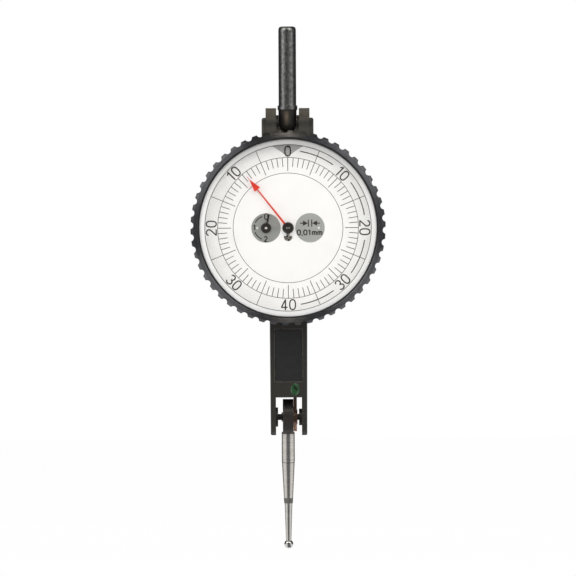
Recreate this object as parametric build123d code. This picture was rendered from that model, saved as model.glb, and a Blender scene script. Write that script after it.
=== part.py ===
from build123d import *
import math
import os

# Dial test indicator, in millimetres.
# The stem points up along +Z, the dial faces -Y and X runs to the right.
# The origin is on the stem's axis, on the shoulder where the collar begins.

# Clearances, and how far a cutter runs past the face that it opens
RUNNING = 0.03
SLIDING = 0.05
SEAT = 0.02
END_PLAY = 0.05
OVERRUN = 1.0

# Stem, collar and ball
STEM_RADIUS = 2.0
STEM_LENGTH = 18.0
STEM_EDGE = 0.45
STEM_CENTRE_RADIUS = 0.45
COLLAR_RADIUS = 2.25
COLLAR_LENGTH = 1.07
BALL_RADIUS = 2.03
BALL_DROP = 4.07

# Ears and the screws that clamp the ball
EAR_SPAN = 10.0
EAR_ROUND = 3.5
EAR_FOOT = 5.5
SLOT_ROOM = 0.55
BALL_SEAT = 2.4
CLAMP_RADIUS = 1.9
CLAMP_SINK = 0.1
CLAMP_SLOT = 0.5
CLAMP_SLOT_DEPTH = 0.5
CLAMP_NOSE_RADIUS = 0.8
CLAMP_NOSE_LENGTH = 0.75

# Bar of the case
BODY_WIDTH = 11.8
BODY_FRONT = -3.0
BODY_DEPTH = 7.6
BODY_TOP = -2.77
BODY_EDGE = 0.5
TAPER_TOP = -42.0
TAPER_BOTTOM = -47.0
CAVITY_SIDE = 1.7
CAVITY_TOP = -23.2
CAVITY_WALL = 0.4
OPENING_BOTTOM = -44.6
POCKET_WALL = 1.1
POCKET_COVER = 1.4
POCKET_DROP = 4.0
POCKET_SIDE = 0.4

# Neck, which leans back from the bar, and its fork
NECK_TILT = 12.0
BEND_Y = 0.6
BEND_Z = -46.0
NECK_WIDTH = 8.56
NECK_END_WIDTH = 8.3
NECK_DEPTH = 7.2
NECK_ROUND = 3.0
NECK_EDGE = 0.2
FORK_SLOT = 5.9
FORK_ROOM = 1.22
FORK_NOSE = 4.04
PIVOT_REACH = 25.456

# Cover plate on the neck
NECK_COVER_WIDTH = 6.3
NECK_COVER_LENGTH = 12.2
NECK_COVER_MARGIN = 3.58
NECK_COVER_THICK = 0.5
NECK_COVER_SINK = 0.05
NECK_COVER_EDGE = 0.12
WINDOW_BORDER = 0.75
WINDOW_STEP = 0.4
CHANNEL_SIDE = 0.48
CHANNEL_DEPTH = 3.9

# Lacquered adjusting screw, sunk at a slant into the front of the neck
ADJUSTER_X = 1.41
ADJUSTER_MARGIN = 1.92
ADJUSTER_SLANT = 42.5
ADJUSTER_RADIUS = 1.035
ADJUSTER_TOP = 0.97
ADJUSTER_FLOOR = 1.5
ADJUSTER_SLOT_TURN = 60.0

# Drum that carries the dial and the bezel
DIAL_Z = -27.86
DRUM_WALL = 1.4
DRUM_FLOOR_THICK = 1.4
DRUM_GAP = 0.2
DRUM_EDGE = 0.4
DRUM_BOSS_STEP = 2.5
DRUM_BOSS_HEIGHT = 1.0

# Bezel
BEZEL_RADIUS = 22.18
BEZEL_SKIRT = 3.4
BEZEL_BACK_TAPER = 1.0
BEZEL_BACK_STEP = 1.5
BEZEL_FRONT_STEP = 0.68
BEZEL_FRONT_TAPER = 0.6
BEZEL_RIM = 2.03
BEZEL_LIP = 1.15
FLUTES = 50
FLUTE_DEPTH = 0.65
FLUTE_WIDTH = 1.59
FLUTE_PHASE = -1.95
SPRING_RING_SETBACK = 1.75
SPRING_RING_WIRE = 0.7
SPRING_RING_GAP = 16.0
SEAL_SETBACK = 0.75
SEAL_WIRE = 0.48

# Crystal and its gasket
CRYSTAL_WALL = 1.15
CRYSTAL_HEIGHT = 3.4
CRYSTAL_THICK = 1.2
CRYSTAL_BEVEL = 1.0
CRYSTAL_PROUD = 0.1
GASKET_WIDTH = 0.4
GASKET_DEPTH = 1.4
GASKET_SINK = 0.3
GASKET_EDGE = 0.1

# Scale ring and centre dial
DIAL_THICK = 0.4
RING_THICK = 0.6
RING_GAP = 0.12
SCALE_RING_WIDTH = 7.6
CENTRE_HOLE_RADIUS = 1.0
SUNK_RADIUS = 3.36
SUNK_DEPTH = 0.12
COUNTER_X = -5.0
WINDOW_RADIUS = 0.97
WINDOW_DROP = 2.05
WINDOW_TOP = 1.84
WINDOW_NECK = 0.74
WINDOW_SCREW_RADIUS = 0.87
WINDOW_SCREW_DROP = 2.15
WINDOW_SCREW_LENGTH = 0.8
FOOT_RADIUS = 0.4
FOOT_LENGTH = 0.6
FOOT_MARGIN = 2.35
FOOT_ANGLE = 68.4

# Movement plate on its pillars
PLATE_MARGIN = 0.81
PLATE_THICK = 0.8
PILLAR_HEIGHT = 2.4
PILLAR_RADIUS = 1.3
PILLAR_MARGIN = 1.6
PILLARS = 3
PILLAR_TURN = 90.0
PLATE_SCREW_RADIUS = 0.45
PLATE_SCREW_HEAD = 0.9
PLATE_SCREW_LENGTH = 2.2
HEAD_HEIGHT = 0.45
SCREW_SLOT = 0.22
SCREW_SLOT_DEPTH = 0.18

# Jewels and arbors
JEWEL_RADIUS = 0.8
JEWEL_THICK = 0.5
PIVOT_RADIUS = 0.3
PIVOT_ROOM = 0.3
ARBOR_RADIUS = 0.45
ARBOR_ROOM = 0.06
ARBOR_TIP = 0.05
PLUG_SINK = 0.1

# Gear train
FINE_MODULE = 0.15
SECTOR_TEETH_FULL = 160
SECTOR_TEETH = 8
CROWN_PINION_TEETH = 10
CROWN_TEETH = 48
CENTRE_PINION_TEETH = 12
CROWN_RADIUS = 2.7
CROWN_FACE = 0.7
CROWN_ROOM = 0.45
COUNTER_MODULE = 0.2
COUNTER_PINION_TEETH = 10
COUNTER_TEETH = 40
TOOTH_SHARE = 0.38
TOOTH_ROOT_SPREAD = 1.5
TOOTH_TIP_SPREAD = 0.45
ADDENDUM = 0.9
DEDENDUM = 1.15
GEAR_THICK = 0.4
PINION_WIDTH = 0.95
COUNTER_PINION_EXTRA = 0.1
WHEEL_WINDOWS = 4
WHEEL_WINDOW_RADIUS = 0.88
WHEEL_WINDOW_CIRCLE = 2.2
CROWN_WINDOWS = 3
CROWN_WINDOW_RADIUS = 0.55
CROWN_WINDOW_CIRCLE = 1.4
TRAVEL_PER_TURN = 0.8
POINTER_TRAVEL = 768.0

# Measuring lever, axle, hub and segment lever
LEVER_LEFT = 1.03
LEVER_THICK = 0.78
LEVER_BOSS = 1.7
LEVER_BOSS_STEP = 0.13
LEVER_TAIL = 3.15
LEVER_TAIL_WIDTH = 1.7
LEVER_WAIST = 2.1
LEVER_TIP_WIDTH = 1.5
LEVER_END = 0.78
LEVER_PIN_RADIUS = 0.3
LEVER_PIN_PROUD = 0.15
AXLE_RADIUS = 0.7
AXLE_BITE = 0.45
AXLE_COLLAR_RADIUS = 1.05
AXLE_COLLAR_WIDTH = 0.28
LEFT_FLANGE_RADIUS = 2.2
LEFT_FLANGE_THICK = 0.48
RIGHT_FLANGE_RADIUS = 1.9
RIGHT_FLANGE_THICK = 0.67
BUSH_RADIUS = 1.45
BUSH_SINK = 0.05
BUSH_SLOT = 0.44
BUSH_SLOT_DEPTH = 0.3
HUB_LEFT = -1.4
HUB_RADIUS = 4.1
WASHER_RADIUS = 2.3
WASHER_THICK = 0.35
SEGMENT_GAP = 0.29
SEGMENT_THICK = 0.5
SEGMENT_SIDE = 0.65
SEGMENT_TUBE = 1.0
SEGMENT_TUBE_LEFT = 1.2
SEGMENT_PIN_RADIUS = 0.5
SEGMENT_PIN_SINK = 0.15
SEGMENT_ARM_WIDTH = 1.8
SEGMENT_ARM_END = 1.2
SECTOR_RIM = 0.9
PRONG_WIDTH = 0.6
PRONG_END = 0.9
PRONG_DEPTH = 0.75

# Stylus and contact ball
SHOULDER_REACH = 3.57
TIP_LENGTH = 29.649
STYLUS_RADIUS = 1.485
STYLUS_SHANK = 6.64
STYLUS_STUD_RADIUS = 0.7
STYLUS_STUD_LENGTH = 1.7
STYLUS_EDGE = 0.1
STYLUS_GROOVE = 0.06
STYLUS_GROOVE_WIDTH = 0.16
STYLUS_WAIST_RADIUS = 1.045
STYLUS_WAIST = 14.96
STYLUS_STEP_RADIUS = 0.99
STYLUS_STEP = 16.2
STYLUS_STEP_LENGTH = 0.1
STYLUS_CONE_RADIUS = 0.885
STYLUS_END_RADIUS = 0.61
FLATS_ACROSS = 1.7
FLATS_TURN = 25.0
CONTACT_RADIUS = 1.03

# Hands
POINTER_REST = -38.4
HAND_THICK = 0.12
HAND_GAP = 0.13
HAND_BITE = 0.4
NEEDLE_ROOT_WIDTH = 0.46
NEEDLE_END_WIDTH = 0.28
ARROW_BASE = 11.15
ARROW_WIDTH = 1.6
ARROW_TIP = 13.85
POINTER_REACH = 14.9
POINTER_END_WIDTH = 0.16
POINTER_HUB_RADIUS = 1.3
POINTER_HUB_LIFT = 0.2
POINTER_HUB_ABOVE = 0.45
HUB_BEVEL = 0.32
COUNTER_REST = 12.0
COUNTER_HAND_LENGTH = 3.1
COUNTER_HAND_WIDTH = 0.4
COUNTER_HUB_RADIUS = 1.15
COUNTER_HUB_LIFT = 0.05
COUNTER_HUB_HEIGHT = 0.6
COUNTER_HUB_ABOVE = 0.23

# Hairspring
SPRING_INNER = 0.78
SPRING_OUTER = 3.3
SPRING_TURNS = 4
SPRING_STRIP = 0.09
SPRING_LIFT = 0.45
SPRING_WIDTH = 0.3
COLLET_RADIUS = 0.7
COLLET_EXTRA = 0.1
STUD_SIZE = 0.8

# Back cover and its screws
COVER_THICK = 0.8
COVER_INSET = 0.45
COVER_EDGE = 0.27
COVER_TOP = -20.2
COVER_BOTTOM = -46.9
COVER_SCREW_MARGIN = 0.9
COVER_SCREW_TOP = -21.7
COVER_SCREW_SIDE = -37.5
COVER_SCREW_BOTTOM = -45.9
COVER_SCREW_HEAD = 0.75
COVER_SCREW_RADIUS = 0.4
COVER_SCREW_LENGTH = 1.5

# Places worked out from the sizes above
SIN_TILT = math.sin(math.radians(NECK_TILT))
COS_TILT = math.cos(math.radians(NECK_TILT))
NECK = Pos(0, BEND_Y, BEND_Z) * Rot(NECK_TILT, 0, 0)
BALL_Z = -BALL_DROP
EAR_GAP = 2 * (BALL_RADIUS + SLOT_ROOM)
FORK_CEILING = PIVOT_REACH - HUB_RADIUS - FORK_ROOM
NECK_END = PIVOT_REACH + FORK_NOSE
ADJUSTER_REACH = FORK_CEILING - ADJUSTER_MARGIN
NECK_COVER_BOTTOM = FORK_CEILING - NECK_COVER_MARGIN
NECK_COVER_TOP = NECK_COVER_BOTTOM - NECK_COVER_LENGTH
CAVITY_WIDTH = BODY_WIDTH - 2 * CAVITY_SIDE
COVER_SCREW_X = BODY_WIDTH / 2 - COVER_SCREW_MARGIN
SEAT_RADIUS = BEZEL_RADIUS - BEZEL_RIM
CRYSTAL_RADIUS = SEAT_RADIUS - SEAT
CENTRE_RADIUS = CRYSTAL_RADIUS - SCALE_RING_WIDTH - RING_GAP
BORE_RADIUS = SEAT_RADIUS - BEZEL_LIP + SLIDING
DRUM_RADIUS = BORE_RADIUS - SLIDING
DRUM_INNER = DRUM_RADIUS - DRUM_WALL
DRUM_BOSS_RADIUS = DRUM_RADIUS - DRUM_BOSS_STEP
PLATE_RADIUS = CENTRE_RADIUS - PLATE_MARGIN
PILLAR_CIRCLE = PLATE_RADIUS - PILLAR_MARGIN
FOOT_CIRCLE = PLATE_RADIUS - FOOT_MARGIN
HUB_RIGHT = LEVER_LEFT
HUB_MIDDLE = (HUB_LEFT + HUB_RIGHT) / 2
LEVER_RIGHT = LEVER_LEFT + LEVER_THICK
SEGMENT_LEFT = LEVER_RIGHT + SEGMENT_GAP
CHANNEL_LEFT = LEVER_LEFT - CHANNEL_SIDE
CHANNEL_RIGHT = SEGMENT_LEFT + SEGMENT_THICK + SEGMENT_SIDE

# Depths, from the back of the case to the front of the crystal
BODY_BACK = BODY_FRONT + BODY_DEPTH
CAVITY_FRONT = BODY_FRONT + CAVITY_WALL
DRUM_FLOOR = BODY_FRONT - DRUM_FLOOR_THICK
SPRING_BACK = DRUM_FLOOR - SPRING_LIFT
SPRING_FRONT = SPRING_BACK - SPRING_WIDTH
PLATE_BACK = DRUM_FLOOR - PILLAR_HEIGHT
COUNTER_GEAR_Y = (PLATE_BACK + SPRING_FRONT - GEAR_THICK) / 2
DIAL_BACK = PLATE_BACK - PLATE_THICK
DIAL_FRONT = DIAL_BACK - DIAL_THICK
LEDGE = DIAL_FRONT + RING_THICK
DRUM_FRONT = LEDGE + DRUM_GAP
SEAL_Y = DRUM_FRONT + SEAL_SETBACK
SPRING_RING_Y = DRUM_FRONT + SPRING_RING_SETBACK
COUNTER_HUB_BACK = DIAL_FRONT - COUNTER_HUB_LIFT
COUNTER_HUB_FRONT = COUNTER_HUB_BACK - COUNTER_HUB_HEIGHT
COUNTER_HAND_Y = COUNTER_HUB_FRONT + COUNTER_HUB_ABOVE
HAND_Y = COUNTER_HUB_FRONT - ARBOR_TIP - HAND_GAP - HAND_THICK
POINTER_HUB_BACK = DIAL_FRONT - POINTER_HUB_LIFT
POINTER_HUB_FRONT = HAND_Y - POINTER_HUB_ABOVE
CRYSTAL_FRONT = DIAL_FRONT - CRYSTAL_HEIGHT
CRYSTAL_BACK = CRYSTAL_FRONT + CRYSTAL_THICK
GASKET_BACK = CRYSTAL_FRONT + GASKET_DEPTH
GASKET_FRONT = CRYSTAL_FRONT + GASKET_SINK
BEZEL_FRONT = CRYSTAL_FRONT + CRYSTAL_PROUD
BEZEL_BACK = DIAL_FRONT + BEZEL_SKIRT

# Ratios and swings of the gear train
SECTOR_RATIO = SECTOR_TEETH_FULL / CROWN_PINION_TEETH
CROWN_RATIO = CROWN_TEETH / CENTRE_PINION_TEETH
COUNTER_RATIO = COUNTER_PINION_TEETH / COUNTER_TEETH
TOTAL_RATIO = 2 * math.pi * TIP_LENGTH / TRAVEL_PER_TURN
LEVER_RATIO = TOTAL_RATIO / SECTOR_RATIO / CROWN_RATIO
LEVER_SWING = POINTER_TRAVEL / TOTAL_RATIO
SEGMENT_SWING = LEVER_SWING * LEVER_RATIO
CROWN_SWING = SEGMENT_SWING * SECTOR_RATIO
SECTOR_RADIUS = SECTOR_TEETH_FULL * FINE_MODULE / 2
CROWN_PINION_RADIUS = CROWN_PINION_TEETH * FINE_MODULE / 2
CROWN_MODULE = 2 * CROWN_RADIUS / CROWN_TEETH
CENTRE_PINION_RADIUS = CENTRE_PINION_TEETH * CROWN_MODULE / 2
CROWN_Y = CAVITY_FRONT + CROWN_RADIUS + CROWN_FACE / 2 + CROWN_ROOM


def neck_point(depth, reach):
    """Y and Z of a point in the neck: depth behind its middle, reach down along it."""
    y = BEND_Y + depth * COS_TILT + reach * SIN_TILT
    z = BEND_Z + depth * SIN_TILT - reach * COS_TILT
    return y, z


PIVOT_Y, PIVOT_Z = neck_point(0, PIVOT_REACH)
GEAR_DISTANCE = SECTOR_RADIUS + CROWN_PINION_RADIUS


def lever_span():
    """Distance up the neck from the fork's axle to the segment pin.

    The segment pin lies on the neck's middle line, one gear distance from the crown arbor.
    """
    back = PIVOT_Y - CROWN_Y
    rise = DIAL_Z - PIVOT_Z
    along = back * SIN_TILT + rise * COS_TILT
    aside = back * back + rise * rise - GEAR_DISTANCE * GEAR_DISTANCE
    return along - math.sqrt(along * along - aside)


LEVER_SPAN = lever_span()
LEVER_TAIL_ARM = LEVER_SPAN / (1 + LEVER_RATIO)
LEVER_ARM = LEVER_SPAN - LEVER_TAIL_ARM
SEGMENT_Y = PIVOT_Y - LEVER_SPAN * SIN_TILT
SEGMENT_Z = PIVOT_Z + LEVER_SPAN * COS_TILT


def rod_x(radius, start, end, y=0.0, z=0.0):
    """Round bar along X."""
    place = Pos((start + end) / 2, y, z) * Rot(0, 90, 0)
    return place * Cylinder(radius, abs(end - start))


def rod_y(radius, start, end, x=0.0, z=0.0):
    """Round bar along Y."""
    place = Pos(x, (start + end) / 2, z) * Rot(90, 0, 0)
    return place * Cylinder(radius, abs(end - start))


def block(x, y, z):
    """Box from three pairs of limits."""
    centre = Pos((x[0] + x[1]) / 2, (y[0] + y[1]) / 2, (z[0] + z[1]) / 2)
    return centre * Box(abs(x[1] - x[0]), abs(y[1] - y[0]), abs(z[1] - z[0]))


def turned_y(points):
    """Solid turned about the dial's axis from points of radius and y."""
    outline = Polyline(*[(radius, y, 0) for radius, y in points], close=True)
    return Pos(0, 0, DIAL_Z) * revolve(make_face(outline), Axis.Y)


def band(inner, outer, middle, half):
    """Ring about the dial's axis with a rectangular section."""
    start = middle - half
    end = middle + half
    return turned_y([(inner, start), (outer, start), (outer, end), (inner, end)])


def turned_z(points):
    """Solid turned about Z from points of radius and height."""
    outline = Polyline(*[(radius, 0, z) for radius, z in points], close=True)
    return revolve(make_face(outline), Axis.Z)


def across(x, y, z):
    """Plane for a piece that turns about an axis along X: angles run from +Y to +Z."""
    return Plane(origin=(x, y, z), x_dir=(0, 1, 0), z_dir=(1, 0, 0))


def facing(y, x=0.0):
    """Plane for a piece that turns about an axis along Y: angles run clockwise from the top."""
    return Plane(origin=(x, y, DIAL_Z), x_dir=(0, 0, 1), z_dir=(0, 1, 0))


def polar(radius, degrees):
    """Point at a radius and angle."""
    return radius * math.cos(math.radians(degrees)), radius * math.sin(math.radians(degrees))


def tooth_points(pitch_radius, module, pitch_angle, middle):
    """One straight-sided tooth, from its root on one side to its root on the other."""
    half = TOOTH_SHARE * pitch_angle / 2
    root = pitch_radius - DEDENDUM * module
    tip = pitch_radius + ADDENDUM * module
    wide = TOOTH_ROOT_SPREAD * half
    narrow = TOOTH_TIP_SPREAD * half
    sides = [(root, -wide), (tip, -narrow), (tip, narrow), (root, wide)]
    return [polar(radius, middle + turn) for radius, turn in sides]


def gear_face(teeth, module, first):
    """Spur gear outline, with a tooth centred on the angle first."""
    step = 360 / teeth
    points = []
    for number in range(teeth):
        points += tooth_points(teeth * module / 2, module, step, first + number * step)
    return make_face(Polyline(*points, close=True))


def screw_y(radius, head_radius, top, length, x, z):
    """Slotted screw whose head faces -Y, with the head's face at y = top."""
    head = rod_y(head_radius, top, top + HEAD_HEIGHT, x, z)
    shank = rod_y(radius, top + HEAD_HEIGHT, top + length, x, z)
    half = SCREW_SLOT / 2
    slot = block((x - head_radius, x + head_radius), (top, top + SCREW_SLOT_DEPTH), (z - half, z + half))
    return head + shank - slot


# Stem
def make_stem():
    profile = [
        (0, STEM_LENGTH),
        (STEM_RADIUS, STEM_LENGTH),
        (STEM_RADIUS, 0),
        (COLLAR_RADIUS, 0),
        (COLLAR_RADIUS, -COLLAR_LENGTH),
        (BALL_RADIUS, -COLLAR_LENGTH),
        (BALL_RADIUS, BALL_Z),
        (0, BALL_Z),
    ]
    stem = turned_z(profile)
    stem = fillet(stem.edges().sort_by(Axis.Z)[-1], STEM_EDGE)
    bottom = STEM_LENGTH - STEM_CENTRE_RADIUS
    stem -= turned_z([(0, bottom), (STEM_CENTRE_RADIUS, STEM_LENGTH), (0, STEM_LENGTH)])
    stem += Pos(0, 0, BALL_Z) * Sphere(BALL_RADIUS)
    seat = CLAMP_NOSE_RADIUS + RUNNING
    depth = BALL_RADIUS - CLAMP_NOSE_LENGTH
    for side in (-1, 1):
        stem -= rod_x(seat, side * depth, side * COLLAR_RADIUS, 0, BALL_Z)
    return stem


def make_clamp_screws():
    screws = []
    for side in (-1, 1):
        inner = BALL_RADIUS + SLIDING
        outer = EAR_SPAN / 2 - CLAMP_SINK
        body = rod_x(CLAMP_RADIUS, side * inner, side * outer, 0, BALL_Z)
        nose = rod_x(CLAMP_NOSE_RADIUS, side * (inner - CLAMP_NOSE_LENGTH), side * inner, 0, BALL_Z)
        limits = (side * (outer - CLAMP_SLOT_DEPTH), side * outer)
        half = CLAMP_SLOT / 2
        slot = block(limits, (-CLAMP_RADIUS, CLAMP_RADIUS), (BALL_Z - half, BALL_Z + half))
        screws.append(body + nose - slot)
    return Compound(screws)


# Case
def side_profile():
    """Outline of the bar and neck seen from the side, as points of y and z."""
    half = NECK_DEPTH / 2
    front_start = (BODY_FRONT - BEND_Y + half * COS_TILT) / SIN_TILT
    back_start = (BODY_BACK - BEND_Y - half * COS_TILT) / SIN_TILT
    return [
        (BODY_FRONT, BODY_TOP),
        neck_point(-half, front_start),
        neck_point(-half, NECK_END),
        neck_point(half, NECK_END),
        neck_point(half, back_start),
        (BODY_BACK, BODY_TOP),
    ]


def front_slab(inset, start, end):
    """Plate from y = start to end, with the outline of the bar and neck drawn in by inset."""
    bottom = BEND_Z - NECK_END - NECK_DEPTH
    slope = (NECK_WIDTH - NECK_END_WIDTH) / 2 / (NECK_END * COS_TILT)
    wide = BODY_WIDTH / 2 - inset
    narrow = NECK_WIDTH / 2 - inset
    tip = narrow - slope * (TAPER_BOTTOM - bottom)
    right = [(wide, BODY_TOP), (wide, TAPER_TOP), (narrow, TAPER_BOTTOM), (tip, bottom)]
    left = [(-x, z) for x, z in reversed(right)]
    points = [(x, start, z) for x, z in right + left]
    return extrude(make_face(Polyline(*points, close=True)), end - start, dir=(0, 1, 0))


def neck_edges(bar):
    """Long edges of the neck and of its rounded end, without those that run along X."""
    start = BEND_Z - NECK_END * COS_TILT + NECK_ROUND
    low = [edge for edge in bar.edges() if edge.bounding_box().min.Z < start]
    return [edge for edge in low if edge.bounding_box().size.X < NECK_WIDTH / 2]


def make_bar():
    points = [(-BODY_WIDTH / 2, y, z) for y, z in side_profile()]
    bar = extrude(make_face(Polyline(*points, close=True)), BODY_WIDTH, dir=(1, 0, 0))
    ends = bar.edges().filter_by(Axis.X).sort_by(Axis.Z)[:2]
    bar = fillet(ends, NECK_ROUND)
    deep = NECK_END * SIN_TILT + NECK_DEPTH
    bar = bar & front_slab(0, BODY_FRONT - NECK_DEPTH, BODY_BACK + deep)
    top_corners = bar.edges().filter_by(Axis.Y).group_by(Axis.Z)[-1]
    bar = fillet(top_corners, BODY_EDGE)
    bar = fillet(bar.edges().filter_by(Axis.Z), BODY_EDGE)
    return chamfer(neck_edges(bar), NECK_EDGE)


def make_ears():
    ears = []
    for side in (-1, 1):
        limits = (side * EAR_GAP / 2, side * EAR_SPAN / 2)
        ear = block(limits, (-EAR_ROUND, EAR_ROUND), (BALL_Z - EAR_FOOT, BALL_Z))
        ears.append(ear + rod_x(EAR_ROUND, *limits, 0, BALL_Z))
    return ears


def make_drum():
    profile = [
        (0, BODY_FRONT + DRUM_BOSS_HEIGHT),
        (DRUM_BOSS_RADIUS, BODY_FRONT + DRUM_BOSS_HEIGHT),
        (DRUM_BOSS_RADIUS, BODY_FRONT),
        (DRUM_RADIUS - DRUM_EDGE, BODY_FRONT),
        (DRUM_RADIUS, BODY_FRONT - DRUM_EDGE),
        (DRUM_RADIUS, DRUM_FRONT),
        (DRUM_INNER, DRUM_FRONT),
        (DRUM_INNER, DRUM_FLOOR),
        (0, DRUM_FLOOR),
    ]
    return turned_y(profile)


def pillar_places():
    """X and Z of the movement plate's pillars, the first on the right, clear of the counter wheel."""
    for number in range(PILLARS):
        up, right = polar(PILLAR_CIRCLE, PILLAR_TURN + 360 / PILLARS * number)
        yield right, DIAL_Z + up


def foot_places():
    """X and Z of the two feet that hold the centre dial on the movement plate."""
    up, right = polar(FOOT_CIRCLE, FOOT_ANGLE)
    return [(-right, DIAL_Z + up), (right, DIAL_Z + up)]


def cover_screw_places():
    for side in (-1, 1):
        yield side * COVER_SCREW_X, COVER_SCREW_TOP
        yield side * COVER_SCREW_X, COVER_SCREW_SIDE
    yield 0, COVER_SCREW_BOTTOM


def adjuster_rod(radius, start, end):
    """Round bar along the adjusting screw's slanted axis, from the neck's front inwards."""
    place = Pos(ADJUSTER_X, -NECK_DEPTH / 2, -ADJUSTER_REACH) * Rot(-90 - ADJUSTER_SLANT, 0, 0)
    return NECK * place * Pos(0, 0, (start + end) / 2) * Cylinder(radius, end - start)


def make_case():
    case = make_bar() + make_drum()
    for ear in make_ears():
        case += ear
    for x, z in pillar_places():
        case += rod_y(PILLAR_RADIUS, DRUM_FLOOR, PLATE_BACK, x, z)

    # Slot between the ears: a close seat under the ball, with room before and behind it for the collar
    half = EAR_GAP / 2
    close = BALL_RADIUS + SLIDING
    case -= block((-half, half), (-EAR_ROUND, BODY_BACK), (BALL_Z, 0))
    case -= rod_y(half, -EAR_ROUND, -BALL_SEAT / 2, 0, BALL_Z)
    case -= rod_y(close, -BALL_SEAT / 2, BALL_SEAT / 2, 0, BALL_Z)
    case -= rod_y(half, BALL_SEAT / 2, BODY_BACK, 0, BALL_Z)
    case -= rod_x(CLAMP_NOSE_RADIUS + RUNNING, -close, close, 0, BALL_Z)
    for side in (-1, 1):
        case -= rod_x(CLAMP_RADIUS, side * close, side * EAR_SPAN, 0, BALL_Z)

    # Movement cavity, open at the back, and the pocket under it for the levers
    wide = CAVITY_WIDTH / 2
    case -= block((-wide, wide), (CAVITY_FRONT, BODY_BACK), (OPENING_BOTTOM, CAVITY_TOP))
    pocket = (BODY_FRONT + POCKET_WALL, BODY_BACK - POCKET_COVER)
    case -= block((CHANNEL_LEFT - POCKET_SIDE, CHANNEL_RIGHT), pocket, (BEND_Z - POCKET_DROP, OPENING_BOTTOM))

    # Channel down the neck to the fork, and the window under the cover plate
    depth = CHANNEL_DEPTH / 2
    channel = block((CHANNEL_LEFT, CHANNEL_RIGHT), (-depth, depth), (-FORK_CEILING, -OVERRUN))
    window_half = NECK_COVER_WIDTH / 2 - WINDOW_BORDER
    window = block(
        (-window_half, CHANNEL_RIGHT - WINDOW_STEP),
        (-NECK_DEPTH / 2, depth),
        (-NECK_COVER_BOTTOM + WINDOW_BORDER, -NECK_COVER_TOP - WINDOW_BORDER),
    )
    half = NECK_COVER_WIDTH / 2 + SEAT
    sunk = -NECK_DEPTH / 2 + NECK_COVER_THICK + NECK_COVER_SINK
    recess = block((-half, half), (-NECK_DEPTH, sunk), (-NECK_COVER_BOTTOM - SEAT, -NECK_COVER_TOP + SEAT))
    below = -NECK_END - OVERRUN
    fork = block((-FORK_SLOT / 2, FORK_SLOT / 2), (-NECK_DEPTH, NECK_DEPTH), (below, -FORK_CEILING))
    case -= NECK * channel
    case -= NECK * window
    case -= NECK * recess
    case -= NECK * fork
    case -= rod_x(BUSH_RADIUS, -BODY_WIDTH, BODY_WIDTH, PIVOT_Y, PIVOT_Z)
    case -= adjuster_rod(ADJUSTER_RADIUS, -3 * ADJUSTER_RADIUS, ADJUSTER_FLOOR)

    # Seats of the arbors and of the segment pin
    for x in (0, COUNTER_X):
        case -= rod_y(JEWEL_RADIUS, DRUM_FLOOR, DRUM_FLOOR + JEWEL_THICK, x, DIAL_Z)
    case -= rod_y(ARBOR_RADIUS + RUNNING, DRUM_FLOOR, CAVITY_FRONT, 0, DIAL_Z)
    end = DRUM_FLOOR + JEWEL_THICK + PIVOT_ROOM
    case -= rod_y(PIVOT_RADIUS + RUNNING, DRUM_FLOOR, end, COUNTER_X, DIAL_Z)
    case -= rod_x(JEWEL_RADIUS, -BODY_WIDTH, BODY_WIDTH, CROWN_Y, DIAL_Z)
    case -= rod_x(SEGMENT_PIN_RADIUS, -BODY_WIDTH, BODY_WIDTH, SEGMENT_Y, SEGMENT_Z)

    # Threaded holes
    for x, z in pillar_places():
        case -= rod_y(PLATE_SCREW_RADIUS, DRUM_FLOOR, PLATE_BACK, x, z)
    for x, z in cover_screw_places():
        case -= rod_y(COVER_SCREW_RADIUS, BODY_BACK - COVER_SCREW_LENGTH, BODY_BACK, x, z)

    # Grooves of the spring ring and the seal
    case -= band(DRUM_RADIUS - SPRING_RING_WIRE / 2, BORE_RADIUS, SPRING_RING_Y, SPRING_RING_WIRE / 2 + SEAT)
    case -= band(DRUM_RADIUS - SEAL_WIRE, BORE_RADIUS, SEAL_Y, SEAL_WIRE / 2 + SEAT)
    return case


def make_back_cover():
    cover = front_slab(COVER_INSET, BODY_BACK, BODY_BACK + COVER_THICK)
    cover &= block((-BODY_WIDTH, BODY_WIDTH), (BODY_BACK, BODY_BACK + COVER_THICK), (COVER_BOTTOM, COVER_TOP))
    rim = cover.faces().sort_by(Axis.Y)[-1].edges()
    cover = chamfer(rim, COVER_EDGE)
    for x, z in cover_screw_places():
        face = BODY_BACK + COVER_THICK
        cover -= rod_y(COVER_SCREW_HEAD + SEAT, face - HEAD_HEIGHT, face, x, z)
        cover -= rod_y(COVER_SCREW_RADIUS + SEAT, BODY_BACK, face, x, z)
    return cover


def make_back_cover_screws():
    screws = []
    face = BODY_BACK + COVER_THICK
    for x, z in cover_screw_places():
        head = rod_y(COVER_SCREW_HEAD, face - HEAD_HEIGHT, face, x, z)
        shank = rod_y(COVER_SCREW_RADIUS, BODY_BACK - COVER_SCREW_LENGTH, face - HEAD_HEIGHT, x, z)
        half = SCREW_SLOT / 2
        wide = (x - COVER_SCREW_HEAD, x + COVER_SCREW_HEAD)
        slot = block(wide, (face - SCREW_SLOT_DEPTH, face), (z - half, z + half))
        screws.append(head + shank - slot)
    return Compound(screws)


def make_neck_cover():
    front = -NECK_DEPTH / 2 + NECK_COVER_SINK
    plate = block(
        (-NECK_COVER_WIDTH / 2, NECK_COVER_WIDTH / 2),
        (front, front + NECK_COVER_THICK),
        (-NECK_COVER_BOTTOM, -NECK_COVER_TOP),
    )
    rim = plate.faces().sort_by(Axis.Y)[0].edges()
    return NECK * chamfer(rim, NECK_COVER_EDGE)


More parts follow.
